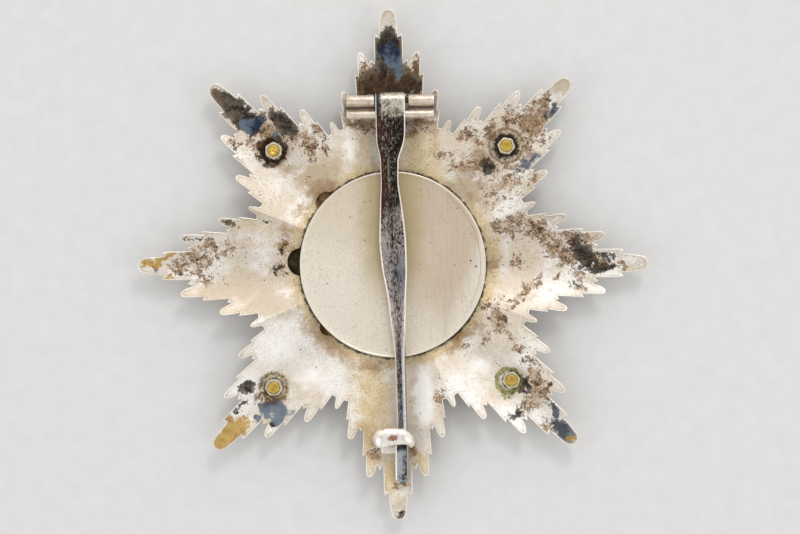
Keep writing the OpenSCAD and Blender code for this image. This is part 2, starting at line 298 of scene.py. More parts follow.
class Finish(Nodes):
    # a material and its nodes. Its coordinates are the object's, in millimetres, its tints are
    # the settings in which colours are found by name, and its color is the colour so far, over
    # which each layer is laid.

    def __init__(self, name, tints, **constants):
        self.tints = tints
        self.material = bpy.data.materials.new(name)
        self.material.use_nodes = True
        super().__init__(self.material.node_tree)
        self.shader = self.tree.nodes["Principled BSDF"]
        constants["Specular IOR Level"] = specularLevel
        for key, value in constants.items():
            self.shader.inputs[key].default_value = value
        place = self.add("ShaderNodeTexCoord", {}, {}, "Object")
        self.place = self.vector("SCALE", place, Scale=1 / mm)
        self.flat = self.vector("MULTIPLY", self.place, (1, 1, 0))

    def at(self, name):
        # one of the piece's own coordinates: "X", "Y" or "Z"
        return self.axis(self.place, name)

    def radius(self):
        # distance from the star's upright axis
        return self.vector("LENGTH", self.flat)

    def noise(self, size, detail=4, rough=0.55, warp=0.0, shift=0.0, stretch=(1, 1, 1)):
        # cloudy pattern whose blotches are about size millimetres wide, 0 to 1 with 0.5 in the middle
        where = self.place
        if shift or stretch != (1, 1, 1):
            where = self.add("ShaderNodeMapping", {}, {"Vector": where, "Scale": stretch,
                                                       "Location": (shift, 1.7 * shift, 0.6 * shift)})
        return self.add("ShaderNodeTexNoise", {},
                        {"Vector": where, "Scale": 1 / size, "Detail": detail, "Roughness": rough,
                         "Distortion": warp}, "Fac")

    def swing(self, *settings):
        # the same pattern about 0, mostly between -1 and 1
        return (self.noise(*settings) - 0.5) * 10

    def dots(self, size):
        # distance to scattered points about size millimetres apart
        return self.add("ShaderNodeTexVoronoi", {}, {"Vector": self.place, "Scale": 1 / size}, "Distance")

    def band(self, value, reach):
        # 1 where value is 0, falling to 0 at reach on either side
        return self.ramp(value.size(), reach, 0)

    def attribute(self, name):
        # a value stored on the mesh's points
        return self.add("ShaderNodeAttribute", {"attribute_name": name}, {}, "Fac")

    def nearness(self, spots, where):
        # each spot's strength in its middle, falling evenly to 0 at its edge: strength x
        # (1 - distance), and the highest of all the spots. The distance is measured along the
        # spot's own turned axes, in half lengths and half widths.
        best = 0.0
        level = self.vector("ADD", where, (0, 0, 1))
        for x, y, long, wide, turn, strength in spots:
            c, s = math.cos(math.radians(turn)), math.sin(math.radians(turn))
            alongRow = (c / long, s / long, -(c * x + s * y) / long)
            acrossRow = (-s / wide, c / wide, (s * x - c * y) / wide)
            best = self.add("ShaderNodeGroup", {"node_tree": spotGroup()},
                            {"Where": level, "Along": alongRow, "Across": acrossRow,
                             "Strength": strength, "Best": best})
        return best

    def ragged(self, near, noise, low, high):
        # a stain's cover: its nearness with noise that only works inside it, between low and high
        return self.ramp(near + noise * self.ramp(near, 0, 0.3), low, high)

    def ringNearness(self, rings, where):
        # nearness to rings: strength x (1 - distance from the ring's line, in half widths)
        best = 0.0
        for x, y, radius, wide, _, strength in rings:
            away = self.vector("DISTANCE", where, (x, y, 0))
            best = (strength - strength / wide * (away - radius).size()).high(best)
        return best

    def blend(self, share, *colors):
        # the first colour where share is 0 and the second where it is 1
        first, second = (self.tints[c] if isinstance(c, str) else c for c in colors)
        return self.add("ShaderNodeMix", {"data_type": "RGBA"},
                        {"Factor_Float": share, "A_Color": first, "B_Color": second})

    def cover(self, share, color):
        # one layer over the colour so far: nothing of it where share is 0, all where it is 1
        self.color = self.blend(share, self.color, color)

    def done(self, roughness, relief=None, strength=0.4, depth=0.05, **others):
        # the finished material: its colour, its roughness and its relief, depth millimetres deep
        given = {"Base Color": self.color, "Roughness": roughness, **others}
        if relief is not None:
            given["Normal"] = self.add("ShaderNodeBump", {}, {"Strength": strength, "Distance": depth * mm,
                                                              "Height": relief})
        for key, value in given.items():
            plug(self.tree, self.shader.inputs[key], value)
        return self.material


def spotGroup():
    # one spot of a stain as a group of nodes, made once
    group = bpy.data.node_groups.get("spot")
    if group:
        return group
    group = bpy.data.node_groups.new("spot", "ShaderNodeTree")
    for name, kind in (("Where", "Vector"), ("Along", "Vector"), ("Across", "Vector"),
                       ("Strength", "Float"), ("Best", "Float")):
        group.interface.new_socket(name=name, in_out="INPUT", socket_type="NodeSocket" + kind)
    group.interface.new_socket(name="Best", in_out="OUTPUT", socket_type="NodeSocketFloat")
    n = Nodes(group)
    given = group.nodes.new("NodeGroupInput")
    where, along, across, strength, best = (Wire(group, given.outputs[k]) for k in range(5))
    u, v = (n.vector("DOT_PRODUCT", where, row) for row in (along, across))
    square = u * u + v * v
    near = strength - strength * square.math("SQRT", square)
    result = group.nodes.new("NodeGroupOutput")
    plug(group, result.inputs[0], best.high(near))
    return group


def photoSpots(name):
    # a table of stains in millimetres from the star's centre, with the picture upright
    size = cameraView["pixel"]
    (cx, cy), rows = stains["centre"], stains[name]
    return [[(px - cx) * size, (cy - py) * size, long * size, wide * size, turn, strength]
            for px, py, long, wide, turn, strength in rows]


# Stains on the plate's back, as they lie in the photograph. Each row is one spot: x and y of
# its middle, half its length and half its width in the photograph's pixels, its turn in
# degrees counter-clockwise, and its strength: above 1 the middle is evenly covered.
stains = {
    "centre": (392.9, 264.4),  # the star's centre in the photograph
    "turn": 0.97,  # and how far the star is turned there, in degrees
    "brown": [  # pitted brown corrosion
        # the rows at 374, 455 and 410, 451 and 401, 485 are painted shadow beside the catch and under the
        # pin's end, and 392, 128 is painted shadow with grime under the hinge's bar
        [197, 262, 17, 17, 0, 1.5], [182, 267, 12, 9, 0, 1.0], [171, 268, 7, 5, 0, 1.0],
        [210, 247, 8, 7, 0, 1.2], [208, 241, 6, 5, 0, 0.9], [204, 280, 11, 8, 0, 0.7],
        [221, 255, 6, 7, 0, 0.9], [231, 245, 11, 7, 0, 0.5], [284, 246, 12, 12, 0, 0.5],
        [279, 272, 12, 12, 0, 0.45], [269, 147, 24, 18, 0, 1.3], [264, 131, 19, 8, 8, 1.5],
        [253, 141, 12, 10, 0, 1.0], [270, 121, 16, 6, -40, 1.2], [290, 137, 14, 9, 0, 0.8],
        [308, 143, 13, 11, -30, 1.4], [311, 154, 6, 10, 0, 1.1], [317, 131, 15, 6, -45, 1.1],
        [325, 147, 5, 14, 20, 0.9], [218, 96, 14, 8, -50, 0.7], [235, 143, 6, 8, 0, 0.7],
        [242, 160, 4, 6, 0, 0.8], [390, 86, 64, 18, 0, 2.0], [418, 72, 10, 18, 0, 1.2],
        [364, 74, 10, 18, 0, 0.8], [392, 128, 60, 8, 0, 0.5], [511, 117, 12, 11, 20, 1.6],
        [532, 116, 20, 15, 10, 2.0], [545, 102, 16, 9, 70, 1.4], [538, 129, 13, 10, 0, 1.2],
        [466, 134, 11, 8, 20, 0.8], [493, 130, 16, 8, 45, 1.2], [480, 141, 9, 6, 0, 0.7],
        [473, 163, 16, 13, -20, 0.6], [457, 167, 10, 8, 0, 0.8], [445, 156, 18, 5, 5, 0.5],
        [509, 165, 16, 9, 0, 0.4], [512, 181, 26, 19, 0, 0.35], [498, 197, 22, 18, 0, 0.3],
        [542, 142, 12, 7, 30, 0.4], [534, 176, 12, 6, 40, 0.5], [526, 142, 10, 15, 0, 0.8],
        [506, 228, 21, 10, -28, 1.2], [518, 221, 15, 8, -20, 1.1], [538, 230, 20, 12, -22, 1.4],
        [556, 244, 19, 14, -40, 1.8], [566, 254, 17, 14, -40, 1.6], [570, 238, 14, 12, 0, 1.3],
        [583, 237, 16, 8, -10, 1.0], [518, 260, 7, 8, 0, 1.4], [546, 255, 6, 3, 0, 1.2],
        [526, 291, 27, 7, 42, 0.9], [499, 302, 8, 6, 20, 0.7], [510, 308, 6, 4, 30, 0.8],
        [559, 276, 5, 5, 0, 0.7], [577, 276, 12, 10, 0, 0.8], [579, 288, 8, 6, 0, 0.7],
        [623, 265, 6, 4, 0, 1.0], [600, 262, 18, 12, 0, 0.9], [498, 322, 11, 15, 25, 1.3],
        [511, 336, 5, 12, 30, 0.9], [485, 340, 4, 11, -25, 0.7], [468, 348, 8, 4, 20, 1.0],
        [518, 348, 7, 5, 0, 1.1], [527, 360, 9, 6, 0, 0.6], [534, 372, 8, 15, 30, 0.7],
        [538, 386, 12, 10, 0, 1.1], [532, 402, 22, 11, 30, 1.0], [541, 390, 9, 11, 0, 1.1],
        [550, 387, 7, 6, 0, 0.9], [545, 428, 10, 10, 0, 0.8], [272, 401, 18, 8, 0, 1.0],
        [261, 398, 12, 9, 0, 0.8], [374, 455, 12, 7, 0, 0.3], [439, 396, 5, 8, 0, 1.0],
        [410, 451, 8, 6, 0, 1.0], [401, 485, 9, 3, 0, 0.6], [344, 207, 8, 5, 0, 0.5],
        [484, 305, 7, 6, 0, 0.9],
    ],
    "filmAndShadow": [  # dark lustrous tarnish
        [389, 50, 22, 26, 0, 2.4], [390, 70, 24, 18, 0, 2.0], [391, 84, 62, 16, 0, 2.0],
        [417, 70, 7, 18, 0, 1.0], [236, 113, 37, 15, -43, 2.2], [226, 95, 16, 6, -45, 0.7],
        [283, 121, 25, 10, -43, 1.8], [262, 152, 8, 17, 0, 1.0], [270, 164, 14, 4, -10, 0.7],
        [488, 167, 7, 12, 0, 1.5], [554, 113, 13, 4, 50, 1.2], [584, 255, 24, 13, -50, 1.6],
        [601, 268, 20, 8, 0, 1.2], [608, 256, 18, 6, -5, 0.7], [574, 284, 10, 5, 0, 0.5],
        [247, 389, 11, 7, 30, 1.6], [240, 407, 12, 3, 45, 1.4], [273, 423, 5, 6, 0, 1.4],
        # 523.5, 384 is painted shadow on the outer side of the SE nut
        [401, 516, 5, 5, 40, 1.6], [523.5, 384, 6.5, 12, -8, 2.4], [517, 391, 9, 4, 20, 1.0],
        [518, 414, 14, 7, 55, 0.9], [550, 386, 6, 5, 0, 1.0], [552, 405, 8, 3, -40, 1.0],
        [200, 238, 4, 3, 0, 1.6], [193, 239, 2.4, 2.4, 0, 1.6], [268, 221, 4.5, 3, 20, 1.4],
        [229, 223, 11, 4, -20, 1.2], [185, 240, 10, 5, 0, 0.6], [277, 266, 4.5, 5, 0, 1.6],
        [276, 273, 3, 7, 0, 1.4], [285, 271, 3, 3, 0, 1.6], [250, 113, 11, 9, -43, 1.5],
        # 375, 450 is painted shadow left of the catch's foot
        [284, 251, 6, 4, 0, 1.0], [235, 144, 5, 6, 0, 0.8], [375, 450, 5, 2.5, -20, 1.0],
    ],
    "blue": [  # blue-grey film
        [386, 52, 15, 10, -10, 2.0], [394, 60, 10, 15, 10, 2.0], [397, 72, 6, 12, -5, 1.6],
        [252, 124, 17, 8, 22, 2.0], [246, 130, 10, 4, 30, 0.8], [277, 134, 6, 5, 0, 1.4],
        [530, 161, 20, 9, 42, 0.8], [553, 112, 12, 4, 50, 1.2], [519, 171, 8, 4, 0, 0.6],
        [276, 410, 20, 10, -15, 1.6], [279, 418, 9, 12, 0, 1.2], [257, 417, 14, 3, 45, 0.9],
        [564, 431, 22, 14, -42, 1.4], [554, 410, 15, 6, -45, 1.2], [153, 269, 4, 4, 0, 1.0],
        [607, 257, 12, 6, 0, 0.35], [379, 104, 5, 9, 0, 0.6],
    ],
    "gold": [  # yellow bloom
        [153, 263, 15, 7, 0, 1.6], [163, 257, 7, 6, 0, 1.4], [171, 255, 10, 2.5, 0, 1.2],
        [171, 278, 13, 2.5, 0, 1.0], [229, 437, 30, 14, 43, 2.0], [246, 427, 11, 7, 45, 0.7],
        [228, 418, 8, 6, 45, 1.2], [574, 438, 5, 4, 45, 1.4],
    ],
    "ochre": [  # thin yellow-tan veil in the hollows
        [366, 150, 22, 40, 0, 0.7], [420, 150, 26, 40, 0, 1.5], [489, 262, 15, 56, 0, 1.4],
        [530, 255, 60, 20, 0, 0.4], [297, 277, 11, 20, 0, 1.0], [288, 244, 16, 22, 0, 1.0],
        [334, 186, 34, 20, 30, 0.9], [304, 214, 14, 22, -30, 0.8], [456, 340, 34, 12, 42, 1.1],
        [371, 400, 27, 100, 0, 1.35], [205, 262, 60, 22, 0, 0.2], [250, 225, 70, 30, -20, 0.5],
        [372, 465, 18, 20, 0, 0.9], [392, 478, 16, 34, 0, 1.2], [424, 462, 16, 22, 0, 0.9],
        [462, 188, 36, 14, -38, 1.1], [318, 176, 30, 22, 25, 1.2], [500, 150, 60, 50, 0, 0.35],
        [480, 210, 30, 30, 0, 0.5],
    ],
    "shadowAndGrime": [  # painted shadow beside the raised parts, with soft brown grime
        [322, 338, 52, 15, -45, 0.9], [285, 236, 12, 17, 0, 0.7], [285, 250, 7, 6, 0, 0.9],
        [411, 452, 9, 6, 0, 1.5], [401, 485, 10, 3, 0, 1.2], [357, 123, 22, 5, 0, 2.0],
        [422, 123, 21, 5, 0, 2.0], [411, 132, 7, 8, 0, 1.8], [508, 186, 36, 28, 0, 0.4],
        [466, 190, 22, 12, -40, 0.4], [372, 130, 8, 8, 0, 1.0], [370, 366, 30, 10, 0, 0.8],
        [321, 192, 22, 15, 35, 1.6], [305, 146, 14, 12, 0, 0.45], [536, 121, 22, 12, 20, 1.4],
        [482, 160, 18, 16, 0, 0.95], [496, 264, 9, 11, 0, 1.0], [528, 152, 12, 10, 0, 0.9],
        [482, 184, 14, 11, 0, 0.9], [288, 249, 8, 10, 0, 1.1], [464, 170, 15, 14, 0, 0.8],
        [288, 168, 18, 12, 0, 0.6], [300, 140, 16, 18, 0, 0.6], [480, 328, 11, 9, 0, 0.7],
        [304, 216, 10, 8, 0, 0.6], [432, 130, 12, 16, 0, 0.6], [460, 340, 24, 9, 45, 1.3],
        [345, 150, 8, 8, 0, 0.1], [433, 150, 12, 20, 0, 0.2], [480, 205, 14, 10, -45, 0.5],
        [376, 455, 12, 9, 0, 0.9], [300, 210, 20, 8, 40, 0.6],
    ],
    "dull": [  # soft tan haze, with painted shade on flanks that face away from the lamps
        [238, 288, 74, 26, 4, 1.5], [235, 245, 60, 22, 0, 0.25], [563, 84, 26, 12, 38, 1.4],
        [512, 100, 12, 10, 50, 0.5], [391, 24, 9, 14, 0, 1.0], [626, 265, 20, 10, 0, 0.8],
        [552, 214, 30, 12, -15, 1.5], [590, 235, 16, 8, 0, 0.8], [266, 100, 10, 9, -50, 0.6],
        [303, 116, 8, 10, -60, 0.5], [498, 188, 46, 22, 25, 0.9], [466, 190, 28, 16, -40, 1.8],
        [318, 172, 36, 20, 30, 1.7], [270, 130, 40, 18, 10, 0.7], [530, 125, 30, 18, 20, 0.7],
        [528, 385, 26, 22, 0, 0.6], [400, 504, 9, 16, 0, 0.7], [270, 304, 42, 20, 0, 1.7],
        [492, 166, 40, 26, 0, 1.1], [594, 281, 16, 8, 0, 1.0], [292, 168, 26, 16, 0, 0.8],
        [376, 480, 8, 12, 0, 0.4], [425, 482, 8, 12, 0, 0.4],
    ],
    "paintedLight": [  # painted light on flanks that face the lamps
        [424, 396, 15, 44, 0, 1.6], [430, 352, 10, 12, 0, 0.6], [350, 150, 11, 22, 0, 1.3],
        [482, 364, 18, 12, 0, 1.0], [308, 378, 28, 18, 0, 0.8], [280, 346, 22, 18, 0, 0.7],
        [526, 362, 16, 10, 0, 0.8],
    ],
    # rings: x, y, radius, half the width, 0, strength
    "dullRings": [
        [506.3, 145.5, 14, 8, 0, 1.6], [273.5, 150.5, 14, 9, 0, 1.2], [273.5, 387.5, 11, 9, 0, 0.8],
    ],
    "discRings": [[392.9, 264.4, 97, 12, 0, 1.2]],
    # a dark ring of grime and painted shade just outside the disc's edge
    "discEdgeGrimeAndShade": [[392.9, 264.4, 93, 3.5, 0, 1.2]],
    "green": [[508, 395, 9, 5, 0, 0.8]],  # verdigris
    "greenRings": [[508.5, 381, 11.5, 3.6, 0, 1.2], [273.5, 387.5, 12.5, 3.6, 0, 0.55]],
    "pits": [  # scattered black specks
        [240, 258, 60, 40, 0, 0.8], [290, 270, 24, 34, 0, 1.0], [490, 330, 34, 30, 0, 0.9],
        [520, 245, 60, 50, 0, 1.0], [520, 350, 50, 50, 0, 0.8], [300, 160, 60, 40, 0, 1.0],
        [428, 400, 30, 50, 0, 0.8], [490, 150, 70, 60, 0, 1.0], [262, 190, 40, 40, 0, 0.6],
    ],
    # dirt and painted shade round the nuts, as rings too
    "nutDirtAndShadeRings": [
        [506.3, 145.5, 10, 6, 0, 1.25], [273.5, 150.5, 11, 6.5, 0, 1.1], [511.5, 380, 8.5, 1.8, 0, 0.7],
        [273.5, 387.5, 9, 1.6, 0, 0.6],
    ],
    "nutHalos": [
        [506.3, 145.5, 17, 2.6, 0, 1.0], [273.5, 387.5, 9.5, 2, 0, 1.0], [273.5, 387.5, 14, 3.4, 0, 0.8],
    ],
}

silver = {
    "bright": tint(244, 240, 232),
    "white": tint(255, 252, 245),
    "plain": tint(222, 209, 190),
    "grain": tint(176, 156, 128),
    "ochre": tint(206, 181, 132),
    "ochrePale": tint(230, 213, 174),
    "brownDark": tint(48, 32, 20),
    "brown": tint(122, 88, 56),
    "brownPale": tint(200, 164, 126),
    "black": tint(32, 26, 22),
    "grey": tint(108, 96, 80),
    "blueDark": tint(38, 49, 66),
    "bluePale": tint(108, 122, 136),
    "goldDark": tint(154, 110, 46),
    "goldPale": tint(200, 165, 86),
    "green": tint(156, 154, 88),
    "rim": tint(255, 248, 235),
    "tan": tint(192, 164, 130),
    "hazeAndShadeTan": tint(194, 176, 150),
    "umber": tint(76, 58, 44),
    "shade": tint(166, 134, 98),
    "roughness": 0.5,
    "wobble": 26.0,  # how far a spot's edge wanders, in pixels of the photograph
}


def plateFinish():
    # satin cast silver: a warm mottled skin, painted light on some flanks, an ochre veil in the hollows, tan
    # haze and painted shade, painted shadow and brown grime beside the raised parts, brown corrosion with
    # dark outlines, dark and blue films, golden bloom, rings of dirt and painted shade round the nuts, and
    # edges worn bright with a painted highlight
    f = Finish("castSilver", silver, Metallic=0.72)
    wander = silver["wobble"] * cameraView["pixel"]
    upright = f.add("ShaderNodeMapping", {},
                    {"Vector": f.flat, "Rotation": (0, 0, math.radians(stains["turn"]))})
    coarse = f.add("ShaderNodeTexNoise", {},
                   {"Vector": f.place, "Scale": 0.5, "Detail": 5, "Roughness": 0.6}, "Color")
    shift = f.vector("MULTIPLY_ADD", coarse, (wander, wander, 0), Vector_002=(-wander / 2, -wander / 2, 0))
    where = f.vector("ADD", upright, shift)

    def spots(name):
        # nearness to the spots of a table, with wandering edges
        return f.nearness(photoSpots(name), where)

    def rings(name):
        # nearness to the rings of a table
        return f.ringNearness(photoSpots(name), upright)

    back = f.attribute("backSide")
    rim = f.attribute("rimDistance")
    mask = back * f.ramp(rim, 0.08, 0.24)
    cloud = f.swing(7, 3, 0.5)
    mottle = f.swing(1.7, 6, 0.68, 0.6)
    island = f.swing(1.3, 6, 0.7, 0.9, 57)
    flake = f.swing(0.75, 6, 0.75, 0.8, 31)
    grain = f.swing(0.3, 5, 0.75, 0.4)

    # skin: bright and plain patches, fine tan grain, painted light on the flanks that face the lamps, the
    # veil, tan haze with painted shade, and painted shadow with brown grime beside the raised parts
    f.color = f.blend(f.ramp(cloud + 0.25 * mottle, -1.5, 1.5), "bright", "plain")
    f.cover(f.ramp(grain + 0.5 * flake, 0.0, 1.3) * 0.45, "grain")
    # painted light: flanks that face the lamps are lit whiter
    paintedLight = f.ragged(spots("paintedLight"), 0.1 * mottle + 0.05 * grain, 0.0, 1.0) * back
    f.cover(paintedLight * 0.9, "white")
    near = spots("ochre").high(rings("discRings"))
    veil = f.ragged(near, 0.15 * mottle + 0.1 * grain, 0.0, 1.0) * back
    yellow = f.blend(f.ramp(grain + 0.4 * mottle + 0.3 * cloud, -1.1, 1.1), "ochrePale", "ochre")
    f.cover(veil * 0.85, yellow)
    # tan haze, partly painted shade where flanks face away from the lamps
    near = spots("dull").high(rings("dullRings"))
    haze = f.ragged(near, 0.09 * mottle + 0.12 * grain, 0.0, 1.1) * back
    f.cover(haze * 0.75, "hazeAndShadeTan")
    # painted shadow of the disc, the hinge and the catch on the plate, mixed with brown grime
    near = spots("shadowAndGrime")
    shade = f.ragged(near, 0.12 * mottle + 0.1 * grain, 0.0, 0.8) * back
    shadowTone = f.blend(f.ramp(near + 0.2 * mottle, 0.9, 1.9), "shade", "brownDark")
    f.cover(shade * 0.8, f.blend(f.ramp(flake + grain, 0.5, 1.4), shadowTone, "tan"))

    # grime and painted shade in a dark ring just outside the disc's edge
    grimeAndShade = f.ragged(rings("discEdgeGrimeAndShade"), 0.3 * flake + 0.3 * mottle, 0.1, 0.9) * back
    f.cover(grimeAndShade * 0.85, "brownDark")

    # brown: islands with a dark outline in a tan haze, denser towards the middle of a spot
    field = spots("brown")
    on = f.ramp(field, 0, 0.1) * mask
    level = 0.38 * flake + 0.5 * island + 0.3 * grain - 0.5 + 0.48 * f.ramp(field, 0, 0.5) + 0.2 * field
    haze = f.ragged(field, 0.25 * mottle, 0.0, 0.7) * mask
    f.cover(haze * 0.5, "tan")
    body = f.ramp(level, 0, 0.16) * on
    outline = f.ramp(level, -0.08, 0.03) * f.ramp(level, 0.3, 0.06) * on
    deep = f.ramp(level + 0.35 * grain, 0.5, 0.9) * on
    rust = f.blend(f.ramp(mottle + grain, -1.0, 0.7), "brown", "brownPale")
    f.cover(body * 0.8, rust)
    f.cover(outline * 0.86, "brownDark")
    f.cover(deep * 0.9, "brownDark")

    # dark film (brown where the corrosion lies below it) with painted shadow in two places, green, blue and
    # gold
    ragged = 0.22 * mottle + 0.2 * flake
    near = spots("filmAndShadow")
    filmAndShadow = f.ragged(near, ragged, 0.22, 0.45) * mask
    dark = f.blend(f.ramp(0.6 * cloud + mottle + 0.8 * grain, -0.5, 1.8), "black", "grey")
    umber = f.blend(f.ramp(mottle + grain, -0.4, 1.8), "umber", "brown")
    dark = f.blend(f.ramp(field + 0.3 * mottle, 0.4, 1.2) * 0.8, dark, umber)
    f.cover(filmAndShadow * f.ramp(near, 0.4, 1.3, 0.84, 0.98), dark)
    near = spots("green").high(rings("greenRings"))
    green = f.ragged(near, ragged, 0.1, 0.6) * back
    olive = f.blend(f.ramp(grain + flake, 0.1, 1.2), "green", "umber")
    f.cover(green * 0.85, olive)
    blue = f.ragged(spots("blue"), 0.15 * mottle + 0.05 * grain, 0.05, 0.6) * mask
    slate = f.blend(f.ramp(1.2 * cloud + 0.5 * mottle + 0.3 * grain, -0.9, 1.3), "blueDark", "bluePale")
    f.cover(blue * 0.92, slate)
    gold = f.ragged(spots("gold"), 0.7 * ragged, 0.1, 0.5) * back
    amber = f.blend(f.ramp(0.6 * mottle + 0.6 * grain, -0.5, 1.1), "goldPale", "goldDark")
    f.cover(gold * 0.92, amber)

    # dirt round the nuts, with painted shade in the ring that hugs each nut
    broken = 0.25 * flake + 0.25 * island
    halo = f.ragged(rings("nutHalos"), broken, 0.2, 0.8) * back
    f.cover(halo * 0.7, "brown")
    ring = f.ragged(rings("nutDirtAndShadeRings"), broken, 0.1, 1.0) * back
    f.cover(ring * 0.97, f.blend(f.ramp(grain, 0.4, 1.6), "brownDark", "umber"))

    # black specks, tarnish in the front's grooves, edges worn bright and painted as a highlight, with a dull
    # line inside
    often = spots("pits")
    gathered = f.ramp(f.noise(2.0, 2, 0.5, 0, 9) - 0.22 * often, 0.36, 0.32)
    pits = f.ramp(f.dots(0.7) + 0.04 * grain, 0.2, 0.12) * gathered
    f.cover(pits * back * 0.95, "brownDark")
    groove = f.ramp(f.attribute("rayRidge"), 0.0, 0.55, 0.75, 0) * (1 - back)
    f.cover(groove, "grey")
    f.cover(f.band(rim - 0.36, 0.2) * back * 0.35, "grain")
    # edges worn bright, with a painted highlight along them
    edge = f.ramp(rim + 0.012 * grain, 0.22, 0.1)
    f.cover(edge * 0.75, "rim")
    roughness = silver["roughness"] + 0.1 * body - 0.08 * filmAndShadow + 0.015 * mottle + 0.05 * veil - 0.12 * edge
    relief = 0.16 * grain + 0.2 * flake + 0.2 * mottle + 1.2 * edge
    return f.done(roughness, relief, 0.4, 0.03)


# The ray plate

plate = {
    "starRadius": 44.0,
    "thickness": 1.0,
    "creaseHeight": 3.2,
    "tipRise": 2.0,
    "troughPower": 1.8,
    "discRadius": 16.0,
    "seatHeight": 2.0,
    "seatGap": 0.05,
    "hubHole": 5.15,
    "ridge": 0.3,
    "edgeRound": 0.17,
    "cornerReach": 1.8,  # how much further a sharp corner moves inwards than a straight edge
    "fineRadius": 22.26,  # the last of the round rings
    "perSegment": 4,  # points of the outline between two rows of the table
    "raySteps": 15,  # rings across the rays on the back
    "frontSteps": 9,
    "backShare": 0.6,  # how much of the thickness is dressed as the back
    "cutHigh": 9,  # height of the cylinders that cut the wells
    "sharpAngle": 30,
    "armLean": [-0.6, 0.4, 0.2, -0.4, -0.6, 0, 0.4, -0.2],
    "wells": [[136, 15.54, 3.92], [177.5, 15.86, 4.8], [223, 15.7, 2.8]],  # angle, distance, diameter
    "wellSides": 64,
    "innerRings": [12, 15.2, 16, 17, 18.4, 19.7, 21],
    # half an arm: angle from its middle line, reach, ridge, and 1 where the outline is round
    "rays": [
        [0, 1.000, 1, 1], [1.3, 0.990, 0.8, 1], [1.95, 0.954, 0.5, 1], [2.4, 0.893, 0, 0],
        [3.2, 0.906, 0.6, 0], [3.6, 0.888, 0.5, 1], [4.1, 0.791, 0, 0], [5.0, 0.809, 0.6, 0],
        [5.8, 0.786, 0, 0], [6.4, 0.822, 0.6, 1], [7.5, 0.840, 1, 1], [8.6, 0.824, 0.6, 1],
        [9.3, 0.750, 0, 0], [10.3, 0.761, 0.6, 0], [11.4, 0.655, 0, 0], [12.2, 0.667, 0.6, 0],
        [13.0, 0.651, 0, 0], [13.8, 0.692, 0.7, 1], [14.9, 0.704, 1, 1], [16.1, 0.690, 0.6, 1],
        [17.0, 0.626, 0, 0], [17.8, 0.637, 0.6, 0], [19.2, 0.563, 0, 0], [20.8, 0.566, 0.2, 0],
        [21.6, 0.598, 0.7, 1], [22.5, 0.606, 1, 1],
    ],
}
armPitch = 45.0
creaseSide = plate["starRadius"] * plate["rays"][-1][1] * math.sin(math.radians(armPitch / 2))
floorHeight = plate["seatHeight"] + plate["seatGap"] + plate["thickness"]


def heightAt(radius, side):
    # height of the plate's back: floor + trough + dome. The trough rises as a power of the
    # distance from the arm's middle line, the dome as the square of the distance from the disc.
    trough = plate["creaseHeight"] * (np.abs(side) / creaseSide) ** plate["troughPower"]
    span = plate["starRadius"] - plate["discRadius"]
    dome = plate["tipRise"] * (np.maximum(0, radius - plate["discRadius"]) / span) ** 2
    return floorHeight + trough + dome


def backHeight(x, y):
    # the same at a point: its side is measured from the leaning middle line of its own arm
    radius = np.hypot(x, y)
    angle = np.degrees(np.arctan2(y, x)) % 360
    arm = np.floor(angle / armPitch + 0.5)
    off = angle - arm * armPitch
    lean = np.array(plate["armLean"])[arm.astype(int) % 8]
    off = off - lean * (1 - (off / (armPitch / 2)) ** 2)
    return heightAt(radius, radius * np.sin(np.radians(off)))


def plainHeight(along, side):
    # the same at one point beside an arm that doesn't lean
    return float(heightAt(math.hypot(along, side), side))


def rayOutline():
    # the star's outline, counter-clockwise: table rows mirrored and repeated for each arm,
    # joined by cubic curves. Where a row is round, the curve passes it along the line between
    # its neighbours, and where it isn't, along the edge itself.
    rays = np.array(plate["rays"], float)
    half = np.concatenate([rays[::-1] * [-1, 1, 1, 1], rays[1:]])[:-1]
    rows = np.tile(half, (8, 1))
    arm = np.repeat(np.arange(8), len(half))
    lean = np.array(plate["armLean"])[arm] * (1 - (rows[:, 0] / (armPitch / 2)) ** 2)
    angle = arm * armPitch + rows[:, 0] + lean
    reach = rows[:, 1] * plate["starRadius"]
    corner = np.stack([reach * np.cos(np.radians(angle)), reach * np.sin(np.radians(angle))], 1)
    after, before = np.roll(corner, -1, 0), np.roll(corner, 1, 0)
    rounded = rows[:, 3:4]
    leave = rounded * (after - before) / 2 + (1 - rounded) * (after - corner)
    arrive = np.roll(rounded * (after - before) / 2 + (1 - rounded) * (corner - before), -1, 0)
    t = np.linspace(0, 1, plate["perSegment"], endpoint=False)[None, :, None]
    curve = hermite(t, corner[:, None], after[:, None], leave[:, None], arrive[:, None])
    nextAngle = np.roll(angle, -1)
    nextAngle[-1] += 360
    base = np.radians(angle[:, None] + (nextAngle - angle)[:, None] * t[:, :, 0])
    ridge = rows[:, 2][:, None] + (np.roll(rows[:, 2], -1) - rows[:, 2])[:, None] * t[:, :, 0]
    return curve.reshape(-1, 2), base.reshape(-1), ridge.reshape(-1)


def insetOutline(curve, distance):
    # the outline moved inwards: along the mean normal, a little further at sharp turns
    ahead, behind = np.roll(curve, -1, 0) - curve, curve - np.roll(curve, 1, 0)
    ahead /= np.linalg.norm(ahead, axis=1, keepdims=True)
    behind /= np.linalg.norm(behind, axis=1, keepdims=True)
    middle = ahead + behind
    size = np.linalg.norm(middle, axis=1, keepdims=True)
    normal = np.stack([-middle[:, 1], middle[:, 0]], 1) / np.maximum(size, 1e-6)
    return curve + normal * distance * np.minimum(2 / np.maximum(size, 1e-6), plate["cornerReach"])


